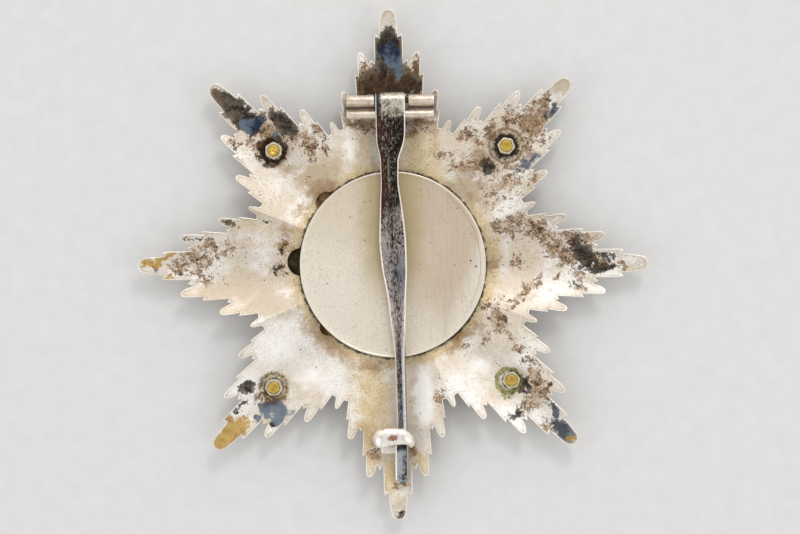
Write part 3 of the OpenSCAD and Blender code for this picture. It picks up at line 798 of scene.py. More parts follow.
def plateShell():
    # rings of points on the back from the hub's hole out to the rim, over the rounded rim,
    # and back in on the front, where the rays stand out as ridges
    curve, base, ridge = rayOutline()
    roundness = plate["edgeRound"]
    inset = insetOutline(curve, roundness)
    circle = np.stack([np.cos(base), np.sin(base)], 1)
    start = circle * plate["fineRadius"]
    rings = []

    def ring(xy, drop, share=0.0):
        # height of a ring: the back's - drop - ridge
        z = backHeight(xy[:, 0], xy[:, 1]) - drop - share * ridge * plate["ridge"]
        rings.append(np.column_stack([xy, z]))

    radii = [plate["hubHole"]] + plate["innerRings"]
    for radius in radii:
        ring(circle * radius, 0)
    for share in np.linspace(0, 1, plate["raySteps"]):
        ring(start + (inset - start) * share, 0)
    thickness = plate["thickness"]
    for turn in np.radians([25, 50, 75, 90]):
        ring(curve + (inset - curve) * (1 - math.sin(turn)), roundness * (1 - math.cos(turn)))
    for turn in np.radians([90, 60, 30, 0]):
        ring(curve + (inset - curve) * (1 - math.sin(turn)), thickness - roundness * (1 - math.cos(turn)), 1)
    for share in np.linspace(1, 0, plate["frontSteps"]):
        ring(start + (inset - start) * share, thickness, share)
    for radius in radii[::-1]:
        ring(circle * radius, thickness)
    return shell(np.stack(rings), closeRows=True), curve


def plateAttributes(mesh, curve):
    # how far each point lies from the star's outline, whether it is on the back, and how near
    # it is to the middle of its ray
    points = pointsOf(mesh)
    rim = np.empty(len(points))
    for part in np.array_split(np.arange(len(points)), 60):  # a part at a time, to save memory
        gap = points[part, None, :2] - curve[None]
        rim[part] = np.sqrt((gap ** 2).sum(-1).min(1))
    top = backHeight(points[:, 0], points[:, 1])
    back = points[:, 2] > top - plate["backShare"] * plate["thickness"]
    _, base, ridge = rayOutline()
    angle = np.arctan2(points[:, 1], points[:, 0]) % (2 * math.pi)
    order = np.argsort(base % (2 * math.pi))
    share = np.interp(angle, (base % (2 * math.pi))[order], ridge[order])
    storeValues(mesh, rimDistance=rim, backSide=back, rayRidge=share)


def cutWells(piece):
    # the three open holes are cut out of the plate by upright cylinders
    high = plate["cutHigh"]
    for angle, distance, width in plate["wells"]:
        turn = math.radians(angle)
        centre = (distance * math.cos(turn), distance * math.sin(turn), 0)
        cylinder = lathe([[0, 0], [width / 2, 0], [width / 2, high], [0, high]], plate["wellSides"], centre)
        cutter = addObject("well", newMesh("well", *joinShells([cylinder])))
        cut = piece.modifiers.new("well", "BOOLEAN")
        cut.operation, cut.solver, cut.object = "DIFFERENCE", "MANIFOLD", cutter
        graph = bpy.context.evaluated_depsgraph_get()
        made = bpy.data.meshes.new_from_object(piece.evaluated_get(graph))
        piece.modifiers.clear()
        piece.data = made
        bpy.data.objects.remove(cutter)


plateSurface, starOutline = plateShell()
rayPlate = addPiece("rayPlate", [plateSurface], ["ray_plate"], "star", plateFinish())
cutWells(rayPlate)
rayPlate.data.shade_smooth()
rayPlate.data.set_sharp_from_angle(angle=math.radians(plate["sharpAngle"]))
plateAttributes(rayPlate.data, starOutline)
print("ray plate made:", len(rayPlate.data.polygons), "faces")


# The disc and the seat

disc = {
    "radius": plate["discRadius"], "thickness": 0.9, "rimHeight": 0.15, "rimWidth": 0.3, "edgeRound": 0.08,
    "sides": 320, "sharpAngle": 40,
    "light": tint(232, 220, 198), "deep": tint(212, 194, 170),  # skin
    "paintedLightSides": tint(248, 240, 224), "pinShade": tint(190, 171, 124),
    "grain": tint(178, 158, 128), "brushed": tint(182, 156, 134),
    "line": tint(150, 128, 96), "lineRadius": 15.1,  # a turned line near the edge
    "speck": tint(120, 100, 74), "spot": tint(50, 38, 28),
    "edge": tint(252, 244, 226), "under": tint(96, 70, 42),
    # dark spots: x, y, half their length and width, turn, strength
    "spots": [[13.4, 0.4, 0.2, 0.22, 0, 1], [14.3, -0.6, 0.2, 0.26, 0, 1],
              [-5.5, 9.2, 0.14, 0.12, 0, 1], [5.0, 12.7, 0.14, 0.12, 0, 1]],
}
crease = disc["radius"] * np.array([[math.cos(math.radians(armPitch / 2))],
                                    [math.sin(math.radians(armPitch / 2))]])
discBottom = float(backHeight(*crease)[0]) + plate["seatGap"]  # it rests on the creases


def discFinish():
    # satin silver, lighter to the left and paler on its lower left and right edge as painted light, with
    # painted shade along the pin, fine specks, a bright edge painted as a highlight and painted shade low on
    # its side
    f = Finish("discSilver", disc, Metallic=0.75)
    x = f.at("X")
    y = f.at("Y")
    radius = f.radius()
    cloud = f.swing(9, 3, 0.5)
    mottle = f.swing(1.6, 6, 0.65, 0.5)
    grain = f.swing(0.3, 5, 0.75, 0.3)
    brushed = f.swing(0.35, 4, 0.6, 0, 8, (1, 0.06, 1))
    # painted light with tarnish tone: lighter to the left, deeper to the right
    f.color = f.blend(f.ramp(0.25 * x + cloud, -3, 4), "light", "deep")
    # painted light on the lower left and along the right edge
    paintedLightSides = f.ramp(y + 0.54 * x + 1.2 * cloud, 4, -10).high(f.ramp(x - 0.4 * y + 0.6 * cloud, 11.5, 16.5))
    f.cover(paintedLightSides * 0.75, "paintedLightSides")
    # painted shade along the pin
    warm = f.ramp(x.size() + 0.4 * mottle, 7.6, 2.2) * f.ramp(y, -10, 4, 0.15, 1)
    f.cover(warm * 0.8, "pinShade")
    f.cover(f.ramp(grain + 0.15 * brushed + 0.3 * mottle, 0.1, 1.1) * 0.35, "grain")
    f.cover(f.ramp(brushed, 0.2, 1.0) * f.ramp(x, 2, 8) * 0.15, "brushed")
    line = f.band(radius - disc["lineRadius"], 0.12) * f.ramp(x + 0.2 * y, 9, 14)
    f.cover(line * 0.5, "line")
    specks = f.ramp(f.dots(1.9) + 0.02 * grain, 0.11, 0.06) * f.ramp(f.noise(3, 2, 0.5, 0, 5), 0.48, 0.56)
    f.cover(specks * 0.6, "speck")
    f.cover(f.ramp(f.nearness(disc["spots"], f.flat), 0.1, 0.4) * 0.9, "spot")
    # painted highlight on the raised edge
    edge = f.ramp(radius, 15.62, 15.75)
    f.cover(edge * 0.9, "edge")
    # painted shade low on the disc's side, over the gap to the plate
    low = f.ramp(f.at("Z") + 0.05 * mottle, discBottom + 0.75, discBottom + 0.35)
    f.cover(low * 0.8, "under")
    roughness = 0.47 + 0.02 * mottle + 0.02 * grain - 0.16 * edge
    relief = 0.15 * grain + 0.15 * mottle + 0.03 * brushed - specks
    return f.done(roughness, relief, 0.25, 0.03)


def discShell():
    # a flat disc turned from its section, with a fine raised edge whose corners are round
    r, low, top, edge = disc["radius"], 0.0, disc["thickness"], disc["rimWidth"]
    rows = [[0, low], [r - edge / 2, low], [r, low + edge / 2], [r, top + disc["rimHeight"]],
            [r - edge, top + disc["rimHeight"]], [r - edge - 0.05, top], [r - 2, top], [0, top]]
    return lathe(roundedProfile(rows, disc["edgeRound"]), disc["sides"], (0, 0, discBottom))


addPiece("backDisc", [discShell()], ["back_disc"], "star", discFinish(), disc["sharpAngle"])

seat = {
    "radius": 18.6, "height": plate["seatHeight"], "edge": 0.6, "hub": 5.0, "edgeRound": 0.25,
    "sides": 256, "sharpAngle": 40,
    "light": tint(214, 204, 184), "dull": tint(198, 186, 160), "rim": tint(110, 98, 82),
    "grimeAndShade": tint(44, 38, 26), "grimeAndShadePale": tint(92, 78, 54),
    "brown": tint(118, 84, 50), "brownPale": tint(182, 146, 100),
    # the open holes where the painted shade is brown: x, y, half its length and width, turn, strength
    "brownSpots": [[-11.2, 10.8, 3, 3, 0, 2], [-11, -10.3, 3, 3, 0, 2]],
}


def seatFinish():
    # turned silver with fine rings; its top face, seen at the bottom of the open holes, is painted dark as
    # shade
    f = Finish("seatSilver", seat, Metallic=0.9)
    mottle = f.noise(1.4, 6, 0.65, 0.6)
    cloud = f.noise(5, 3, 0.5)
    rings = f.add("ShaderNodeTexWave", {"wave_type": "RINGS", "rings_direction": "SPHERICAL"},
                  {"Vector": f.flat, "Scale": 1.2, "Distortion": 0.2}, "Fac")
    f.color = f.blend(f.ramp(cloud + 0.4 * mottle, 0.5, 0.9), "light", "dull")
    f.cover(f.ramp(f.radius(), 17.6, 18.4) * 0.4, "rim")
    # painted shade: the top face, seen only down the open holes, is dark
    grimeAndShade = f.ramp(f.at("Z"), 1.7, 1.95)
    dirtAndShade = f.blend(f.ramp(mottle, 0.4, 0.6), "grimeAndShade", "grimeAndShadePale")
    brown = f.ramp(f.nearness(seat["brownSpots"], f.flat), 0, 0.5)
    dirtAndShade = f.blend(brown, dirtAndShade, f.blend(f.ramp(mottle, 0.42, 0.58), "brown", "brownPale"))
    f.cover(grimeAndShade, dirtAndShade)
    roughness = 0.38 + 0.4 * grimeAndShade + 0.1 * (mottle - 0.5)
    return f.done(roughness, 0.3 * rings + 0.6 * mottle, 0.3, 0.05, Metallic=0.9 - 0.8 * grimeAndShade)


seatRows = [[0, 0], [seat["radius"] - 2 * seat["edge"], 0], [seat["radius"], seat["edge"]],
            [seat["radius"], seat["height"]], [seat["hub"], seat["height"]], [seat["hub"], discBottom],
            [0, discBottom]]
seatShell = lathe(roundedProfile(seatRows, seat["edgeRound"]), seat["sides"])
addPiece("centreSeat", [seatShell], ["centre_boss"], "star", seatFinish(), seat["sharpAngle"])
print("disc and seat made")


# The four fixings

fixing = {
    "circle": 28.4, "screw": 1.95, "nutFlats": 2.7, "nutHeight": 1.5, "screwOut": 0.15, "headWide": 4.4,
    "headHigh": 0.9, "gap": 0.1, "chamfer": 0.15, "boreGap": 0.05, "pitDepth": 0.12, "edge": 0.06,
    "cornerRound": 0.04, "nutSides": 144, "nutSharpAngle": 25,
    "screwRound": 0.14, "screwSides": 72, "screwSharpAngle": 40,
    # name: angle round the star, distance as a share of the circle, turn of the nut, pit in the screw's end
    "places": {"ne": [45.3, 0.995, 18, 0.2], "nw": [135.4, 1.0, 0, 1.0], "sw": [225, 1.04, 31, 0.1],
               "se": [314.7, 1.005, 40, 0.3]},
    "gold": tint(236, 204, 104), "goldDeep": tint(186, 140, 52), "goldWorn": tint(92, 66, 30),
    "goldLow": tint(120, 98, 60), "dull": tint(196, 182, 150),
    # name: the nut's silver, its dirt and painted shade, and how strongly they cover it
    "nuts": {"ne": [tint(238, 230, 206), tint(60, 44, 26), 0.75],
             "nw": [tint(232, 226, 206), tint(44, 34, 24), 0.8],
             "sw": [tint(222, 216, 196), tint(150, 140, 106), 0.6],
             "se": [tint(226, 220, 192), tint(78, 88, 52), 0.8]},
}


def gildedFinish():
    # worn gilding: yellow metal, brown in its pits
    f = Finish("gilding", fixing, Metallic=1.0)
    mottle = f.noise(0.5, 6, 0.7, 0.8)
    grain = f.noise(0.16, 4, 0.7, 0.4, 12)
    f.color = f.blend(f.ramp(mottle, 0.38, 0.7), "gold", "goldDeep")
    worn = f.ramp(f.noise(0.7, 5, 0.7, 1.0, 7), 0.6, 0.72)
    f.cover(worn * 0.8, "goldWorn")
    f.cover(f.ramp(f.at("Z"), 5.1, 4.6) * 0.5, "goldLow")
    return f.done(0.36 + 0.25 * worn + 0.2 * (mottle - 0.5), mottle + 0.4 * grain - worn, 0.35, 0.06)


def nutFinish(name, warm, dirtAndShade, cover):
    # silver nut, darker low on its flats as painted shade with dirt, and dirt in spots
    f = Finish(name, fixing, Metallic=0.9)
    mottle = f.noise(0.6, 6, 0.7, 0.8)
    grain = f.noise(0.2, 4, 0.7, 0.4, 3)
    f.color = f.blend(f.ramp(mottle, 0.4, 0.72), warm, "dull")
    # painted shade with dirt low on the flats, next to the plate
    low = f.ramp(f.at("Z") + 0.7 * (mottle - 0.5), 4.9, 4.1)
    f.cover(low * cover, dirtAndShade)
    spots = f.ramp(f.noise(0.45, 6, 0.75, 1.2, 21), 0.6, 0.68)
    f.cover(spots * cover, dirtAndShade)
    return f.done(0.34 + 0.2 * spots + 0.2 * (mottle - 0.5), mottle + 0.4 * grain - spots, 0.3, 0.05)


def fixingPlace(name):
    # x and y, the nut's foot on the back, the head's seat on the front, the nut's turn, the pit
    angle, share, turn, pit = fixing["places"][name]
    a = math.radians(angle)
    reach = fixing["circle"] * share
    # the seat lies where the nut's outer corner meets the plate
    side = fixing["nutFlats"] / 2
    base = plainHeight(reach + side, side) + fixing["gap"]
    head = plainHeight(reach - fixing["headWide"] / 2, 0) - plate["thickness"] - plate["ridge"]
    head -= fixing["gap"]
    return reach * math.cos(a), reach * math.sin(a), base, head, turn, pit


def nutShell(x, y, base, turn):
    # a hexagon with a bore: the radius of each row is the hexagon's, flat / cos of the angle from
    # the flat's middle, limited by the chamfer's cone near the top, with small round edges
    a = np.linspace(0, 2 * math.pi, fixing["nutSides"], endpoint=False)
    flat, edge = fixing["nutFlats"] / 2, fixing["edge"]
    corner = flat / math.cos(math.pi / 6)
    local = (a + math.pi / 6) % (math.pi / 3) - math.pi / 6
    hexagon = np.minimum(flat / np.cos(local), corner - fixing["cornerRound"])
    bore = np.full_like(a, fixing["screw"] / 2 + fixing["boreGap"])
    low, high = 0 * a, fixing["nutHeight"] + 0 * a
    cone = corner - fixing["chamfer"]
    lowered = np.maximum(0, hexagon - cone) * 1.1
    rows = [(bore, low), (hexagon - edge, low), (hexagon, low + edge), (hexagon, high - lowered - edge),
            (hexagon - edge / 3, high - lowered - edge / 3),
            (np.minimum(hexagon - edge, cone), high - 0.6 * lowered),
            (np.minimum(hexagon - 2 * edge, cone - edge), high), (bore + edge, high), (bore, high - edge)]
    spin = a + math.radians(turn)
    grid = np.stack([np.stack([x + r * np.cos(spin), y + r * np.sin(spin), base + z], -1) for r, z in rows])
    return shell(grid, closeRows=True)


def screwShell(x, y, base, head, pit):
    # shaft with a slightly domed end and a shallow crater, and a plain domed head in front
    r, wide, high = fixing["screw"] / 2, fixing["headWide"] / 2, fixing["headHigh"]
    top = base + fixing["nutHeight"] + fixing["screwOut"]
    dip = fixing["pitDepth"] * pit
    rows = [[0, head - high], [wide - 0.8 * high, head - high], [wide - 0.3 * high, head - 0.8 * high],
            [wide, head - 0.4 * high], [wide, head], [r, head], [r, top - 0.1], [r - 0.1, top],
            [0.55 * r, top - 0.01], [0.3 * r, top - dip], [0, top - 1.2 * dip - 0.005]]
    return lathe(roundedProfile(rows, fixing["screwRound"]), fixing["screwSides"], (x, y, 0))


gilding = gildedFinish()
for corner in fixing["places"]:
    x, y, base, head, turn, pit = fixingPlace(corner)
    addPiece("screw_" + corner.upper(), [screwShell(x, y, base, head, pit)], ["screw_" + corner], "star",
             gilding, fixing["screwSharpAngle"])
    nutMetal = nutFinish("nut" + corner.title(), *fixing["nuts"][corner])
    addPiece("nut_" + corner.upper(), [nutShell(x, y, base, turn)], ["nut_" + corner], "star",
             nutMetal, fixing["nutSharpAngle"])
print("fixings made")


# The hinge

hinge = {
    "y": 28.2, "z": 6.69656, "wide": 15.1, "barrel": 1.9, "axle": 0.9, "bore": 1.0, "bar": 1.6,
    "barOff": 2.4, "footGap": 0.1, "knuckleGap": 0.2, "knucklePlay": 0.6, "pinWide": 5.1, "footInset": 0.02,
    "light": tint(240, 227, 210), "deep": tint(212, 194, 172), "speck": tint(120, 96, 70),
    "grimeAndShade": tint(40, 28, 18), "grimeAndShadePale": tint(92, 70, 44),
    "steel": tint(84, 70, 54), "steelDark": tint(52, 40, 30),  # the axle
    "sides": 72, "barRound": 0.3, "barrelRound": 0.12, "axleRound": 0.16, "sharpAngle": 35,
    "footSteps": 40, "footSides": 32, "footPower": 9, "footEnd": 0.1, "footNarrow": 0.04,
}
hingeEnd = hinge["wide"] / 2
barY = hinge["y"] - hinge["barOff"]
barZ = plainHeight(barY, hingeEnd) + hinge["footGap"] + hinge["bar"] / 2


def hingeFinish():
    # polished silver, darker low down and in the gap between the barrels and the bar: painted shade with
    # brown grime
    f = Finish("hingeSilver", hinge, Metallic=0.88)
    mottle = f.swing(0.9, 6, 0.68, 0.7)
    grain = f.swing(0.25, 4, 0.7, 0.4, 3, (0.3, 1, 1))
    f.color = f.blend(f.ramp(mottle + 0.4 * grain, -0.8, 1.2), "light", "deep")
    between = (hinge["y"] + barY + hinge["bar"] / 2 - hinge["barrel"] / 2) / 2
    gap = f.band(f.at("Y") - between, 0.42)
    # painted shade with grime, low down and in the gap between barrels and bar
    low = f.ramp(f.at("Z") + 0.12 * mottle, 6.0, 5.6).high(f.ramp(gap, 0.1, 0.5))
    grimeAndShade = f.blend(f.ramp(grain, -0.6, 0.6), "grimeAndShade", "grimeAndShadePale")
    f.cover(low * 0.85, grimeAndShade)
    specks = f.ramp(f.swing(0.5, 6, 0.75, 1.2, 17), 0.8, 1.2)
    f.cover(specks * 0.5, "speck")
    roughness = 0.42 + 0.2 * low + 0.02 * mottle
    return f.done(roughness, 0.1 * mottle + 0.1 * grain - 0.5 * specks, 0.25, 0.03)


def tube(x0, x1, y, z, outer, edge, inner=0.0):
    # a round bar or a pipe along x with rounded ends: its section turned round the bar's line.
    # A pipe's section ends where it starts.
    rows = [[inner, x0], [outer, x0], [outer, x1], [inner, x1]]
    rows += rows[:1] if inner else []
    return lathe(roundedProfile(rows, edge), hinge["sides"], (0, y, z), "x")


def footShell(x0, x1, y0, y1, top):
    # a slab across the arm whose underside follows the trough, with rounded edges: at each
    # station its section is a squarish superellipse between the underside and the top
    xs = np.linspace(x0, x1, hinge["footSteps"])
    floor = heightAt(np.hypot(y1, xs), xs) + hinge["footGap"]
    c, s = superellipse(hinge["footSides"], hinge["footPower"])
    end = 1 - hinge["footNarrow"] * np.clip(1 - np.minimum(xs - x0, x1 - xs) / hinge["footEnd"], 0, 1)
    ys = (y0 + y1) / 2 + (y1 - y0) / 2 * c[None] * end[:, None]
    zs = (floor[:, None] + top) / 2 + (top - floor[:, None]) / 2 * s[None] * end[:, None]
    return shell(capped(np.stack([np.repeat(xs[:, None], len(c), 1), ys, zs], -1)))


def hingeShells():
    # the lower bar on its foot, and two barrels whose feet reach from the bar to behind them
    foot, inset = hinge["bar"] * 0.6, hinge["footInset"]
    parts = [tube(-hingeEnd, hingeEnd, barY, barZ, hinge["bar"] / 2, hinge["barRound"]),
             footShell(-hingeEnd + inset, hingeEnd - inset, barY - foot / 2, barY + foot / 2, barZ)]
    for x0, x1 in ((-hingeEnd, -hinge["pinWide"] / 2 - hinge["knuckleGap"]),
                   (hinge["pinWide"] / 2 + hinge["knucklePlay"], hingeEnd)):
        parts.append(tube(x0, x1, hinge["y"], hinge["z"], hinge["barrel"] / 2, hinge["barrelRound"],
                          hinge["bore"] / 2))
        parts.append(footShell(x0 + inset, x1 - inset, barY, hinge["y"] + hinge["barrel"] / 4,
                               hinge["z"] - hinge["barrel"] / 3))
    return parts


def axleFinish():
    # dull steel with brown specks
    f = Finish("axleSteel", hinge, Metallic=0.95)
    mottle = f.noise(0.4, 6, 0.7, 0.6)
    f.color = f.blend(f.ramp(mottle, 0.4, 0.65), "steel", "steelDark")
    return f.done(0.4 + 0.3 * (mottle - 0.5), mottle, 0.3, 0.04)


addPiece("hingeBlock", hingeShells(), ["hinge_block"], "star", hingeFinish(),
         hinge["sharpAngle"])
axleShell = tube(-hingeEnd, hingeEnd, hinge["y"], hinge["z"], hinge["axle"] / 2, hinge["axleRound"])
addPiece("hingeAxle", [axleShell], ["hinge_axle"], "star", axleFinish(), hinge["sharpAngle"])
print("hinge made")


# The brooch pin

pin = {
    "long": 65.8, "wide": hinge["pinWide"], "thick": 0.9, "shank": 1.25, "dip": 1.5, "curlEnd": -165.0,
    "curlSteps": 60, "steps": 150, "endSteps": 12, "endFrom": 0.983, "sides": 40, "sharpAngle": 50,
    "tipThin": 0.5,  # how much of the thickness the tip loses where the side table says -1
    # station, width, side: as shares of the length and of the width
    "plan": [[0.000, 1.00, 0.00], [0.056, 1.00, 0.00], [0.085, 0.99, 0.00], [0.113, 0.92, -0.02],
             [0.138, 0.74, -0.04], [0.160, 0.63, -0.06], [0.213, 0.61, -0.06], [0.255, 0.70, -0.04],
             [0.313, 0.83, -0.01], [0.371, 0.91, 0.01], [0.430, 0.86, 0.05], [0.517, 0.63, 0.12],
             [0.582, 0.52, 0.15], [0.650, 0.40, 0.19], [0.705, 0.36, 0.20], [0.880, 0.36, 0.22],
             [0.905, 0.45, 0.20], [0.990, 0.45, 0.19], [1.000, 0.30, 0.19]],
    # station, thickness from the bar's (0) to the shank's (1)
    "side": [[0.0, 0], [0.45, 0], [0.62, 1], [0.87, 1], [0.91, 0.2], [0.99, 0], [1.0, -0.8]],
    # station, squareness of the section
    "square": [[0.0, 6.0], [0.4, 5.0], [0.56, 3.4], [0.66, 2.3], [0.88, 2.3], [0.91, 5.0], [1.0, 4.5]],
    "tints": {
        "head": tint(232, 222, 198), "headGrey": tint(156, 148, 138), "brown": tint(74, 46, 36),
        "black": tint(36, 27, 24), "fleck": tint(214, 208, 192), "olive": tint(158, 150, 122),
        "grey": tint(200, 187, 180), "blue": tint(122, 132, 138), "speck": tint(48, 31, 20),
        "band": tint(206, 206, 206), "pit": tint(26, 20, 17), "edge": tint(248, 240, 230),
        "blade": tint(192, 196, 196), "bladeDark": tint(84, 88, 94), "deepBlue": tint(52, 66, 80),
    },
}


def smoothTable(rows, column, at):
    # a table's column between its stations, as a curve that keeps within neighbouring rows
    rows = np.array(rows, float)
    x, y = rows[:, 0], rows[:, column]
    step = np.diff(y) / np.diff(x)
    slope = np.zeros_like(y)
    same = step[:-1] * step[1:] > 0
    slope[1:-1] = np.where(same, 2 * step[:-1] * step[1:] / np.where(same, step[:-1] + step[1:], 1), 0)
    k = np.clip(np.searchsorted(x, at, "right") - 1, 0, len(x) - 2)
    w = x[k + 1] - x[k]
    t = (at - x[k]) / w
    return hermite(t, y[k], y[k + 1], w * slope[k], w * slope[k + 1])


def pinGrid():
    # a strip that curls round the axle and runs out straight to its flat end. Its section is a
    # rounded rectangle that turns to an oval along the shank, and the bar dips to the catch.
    bore = hinge["bore"] / 2
    curlTurn = np.radians(np.linspace(pin["curlEnd"], 90, pin["curlSteps"]))
    length = np.concatenate([np.linspace(0, 0.98, pin["steps"]),
                             np.linspace(pin["endFrom"], 1, pin["endSteps"])])[1:]
    station = np.concatenate([np.zeros(len(curlTurn)), length])
    width = pin["wide"] * smoothTable(pin["plan"], 1, station)
    side = pin["wide"] * smoothTable(pin["plan"], 2, station)
    blend = smoothTable(pin["side"], 1, station)
    thick = (pin["thick"] + np.maximum(blend, 0) * (pin["shank"] - pin["thick"])
             + np.minimum(blend, 0) * pin["tipThin"] * pin["thick"])
    c, s = superellipse(pin["sides"], smoothTable(pin["square"], 1, station))
    across = side[:, None] + width[:, None] / 2 * c
    lift = thick[:, None] / 2 * (s + 1)  # from the strip's inner face
    base = np.minimum(blend, 0)[:, None] * -pin["tipThin"] / 2 * pin["thick"]
    out = bore + base + lift
    turn = np.concatenate([curlTurn, np.full(len(length), math.pi / 2)])[:, None]
    y = out * np.cos(turn) - (pin["long"] * station)[:, None]
    z = out * np.sin(turn)
    dip = math.radians(pin["dip"])
    return np.stack([across, hinge["y"] + y * math.cos(dip) - z * math.sin(dip),
                     hinge["z"] + y * math.sin(dip) + z * math.cos(dip)], -1)


def pinFinish():
    # drawn metal under dark tarnish: worn yellow at the head, brown-black with bright flecks
    # down to the disc, silver-grey below with a dark pitted middle line, dark along the shank
    # and blue-grey at the flat end; the sides are worn bright
    f = Finish("pinMetal", pin["tints"], Metallic=0.95)
    across, along, edge = f.attribute("across"), f.attribute("along"), f.attribute("edge")
    streak = f.swing(0.3, 6, 0.75, 0.5, 4, (1, 0.25, 1))
    mottle = f.swing(0.9, 6, 0.7, 0.6)
    speckle = f.swing(0.34, 6, 0.8, 0.4, 9)
    f.color = f.blend(f.ramp(across + 0.4 * mottle, -0.9, 0.3), "brown", "black")
    fine = f.swing(0.2, 5, 0.8, 0.3, 14, (1, 0.22, 1))
    f.cover(f.ramp(speckle, 0.3, 1.0) * 0.3, "headGrey")
    inside = f.ramp(across * across, 0.8, 0.2)
    flecks = f.ramp(fine + 0.6 * streak, 0.75, 1.1) * f.ramp(along, 22, 10, 0.45, 1) * inside
    f.cover(flecks * 0.75, "fleck")
    line = f.band(across + 0.1 + 0.03 * mottle, 0.16) * f.ramp(f.band(along - 12.6, 4), 0, 0.4)
    f.cover(line * f.ramp(speckle, -0.9, -0.2) * 0.9, "olive")

    # below the disc's upper edge: grey with a dark speckled middle and bluish sides
    lower = f.ramp(along + 1.2 * mottle + 1.5 * across + 2 * streak, 17.5, 22)
    grey = f.blend(f.band(along - 30, 7) * f.ramp(mottle + across, -0.9, 0.2) * 0.85, "grey", "blue")
    grey = f.blend(f.ramp(speckle + streak, -0.1, 0.9) * 0.5, grey, "headGrey")
    middle = f.ramp(across * across, 0.3, 0.0)
    dark = f.ramp(fine + 0.5 * streak + 0.9 * middle, 0.72, 1.1)
    right = f.band(along - 23.5, 5) * f.ramp(across, -0.1, 0.4)
    dark = dark.high(f.ramp(speckle + 0.9 * right, 0.6, 0.9))
    grey = f.blend(dark * 0.93, grey, "speck")
    row = f.band(across + 0.03, 0.14) * f.ramp(f.band(along - 24, 2), 0, 0.3) * f.ramp(speckle, -0.7, -0.1)
    grey = f.blend(row, grey, "pit")
    f.cover(lower, grey)

    # the shank: a dark middle, bluish towards the catch, and a broad pale band on its right
    shank = f.ramp(along, 38, 45) * f.ramp(along, 58.6, 57.6)
    core = f.ramp(across + 0.04 * mottle, -0.88, -0.76) * f.ramp(across + 0.06 * speckle, 0.3, 0.14)
    core = core.high(f.ramp(across + 0.04 * speckle, 0.72, 0.82))
    deep = f.blend(f.ramp(along + mottle, 49, 53), "black", "deepBlue")
    f.cover(shank * core * 0.9, f.blend(f.ramp(speckle + streak, 0.1, 0.8), deep, "headGrey"))
    f.cover(shank * (1 - core) * 0.85, f.blend(f.ramp(across, -0.2, 0.2), "edge", "band"))

    # the flat end: pale on the left, dark on the right, with dark dots at its tip and painted shadow of the
    # hook across its top
    blade = f.ramp(along, 57.6, 58.8)
    flat = f.blend(f.ramp(across + 0.5 * streak + 0.4 * mottle, -0.4, 1.0), "blade", "bladeDark")
    tip = f.ramp(along, 62.8, 65) * f.ramp(speckle + 0.6 * mottle + 0.4 * across, 0.0, 0.5)
    flat = f.blend(tip.high(f.ramp(across, 0.62, 0.8)) * 0.85, flat, "pit")
    f.cover(blade, flat)
    # painted shadow of the hook across the top of the flat end
    f.cover(f.ramp(along + 0.3 * across, 60.6, 59.7) * blade * 0.9, "pit")

    # the head: worn silver-yellow, blue-black on the left
    worn = f.ramp(along + 0.5 * mottle + 0.9 * streak, 2.9, 1.3)
    worn *= f.ramp(across + 0.15 * mottle, -0.85, -0.55)
    head = f.blend(f.ramp(0.5 * fine + 1.2 * mottle, 0.0, 0.9), "head", "headGrey")
    f.cover(worn * 0.95, head)
    left = f.ramp(across, -0.55, -0.85) * f.ramp(along, 3.4, 1)
    f.cover(left * 0.8, "deepBlue")
    pit = f.ramp(f.dots(0.6) + 0.04 * speckle, 0.24, 0.14) * f.ramp(along, 3.6, 2.4, 0.6, 0.35)
    f.cover(pit * 0.85, "pit")

    # bright sides, broader below the disc's upper edge, with a dark line outside the right one
    wide = f.ramp(along, 12, 24, 0.12, 0.2) + f.ramp(across, -0.2, 0.2, 0, 0.08)
    shine = f.ramp(edge - wide + 0.02 * speckle, 0.07, -0.02) * (1 - 0.8 * shank * f.ramp(across, 0, 0.4))
    f.cover(shine * (1 - 0.6 * blade * f.ramp(across, 0, 0.5)) * 0.92, "edge")
    roughness = 0.38 + 0.02 * mottle + 0.1 * pit - 0.08 * shine
    return f.done(roughness, 0.25 * streak + 0.15 * speckle - pit, 0.35, 0.03)


def addPin():
    # the pin, and on each of its points the place along the strip, across it (-1 to 1) and the
    # distance from its nearer side, worked out from the plan at that station
    piece = addPiece("broochPin", [shell(capped(pinGrid()))], ["brooch_pin"], "pin",
                     pinFinish(), pin["sharpAngle"])
    found = pointsOf(piece.data)
    dip = math.radians(pin["dip"])
    along = (hinge["y"] - found[:, 1]) * math.cos(dip) + (hinge["z"] - found[:, 2]) * math.sin(dip)
    station = np.clip(along / pin["long"], 0, 1)
    width = pin["wide"] * smoothTable(pin["plan"], 1, station)
    side = pin["wide"] * smoothTable(pin["plan"], 2, station)
    across = np.clip((found[:, 0] - side) / (width / 2), -1, 1)
    storeValues(piece.data, across=across, along=along, edge=width / 2 * (1 - np.abs(across)))


addPin()
print("pin made")


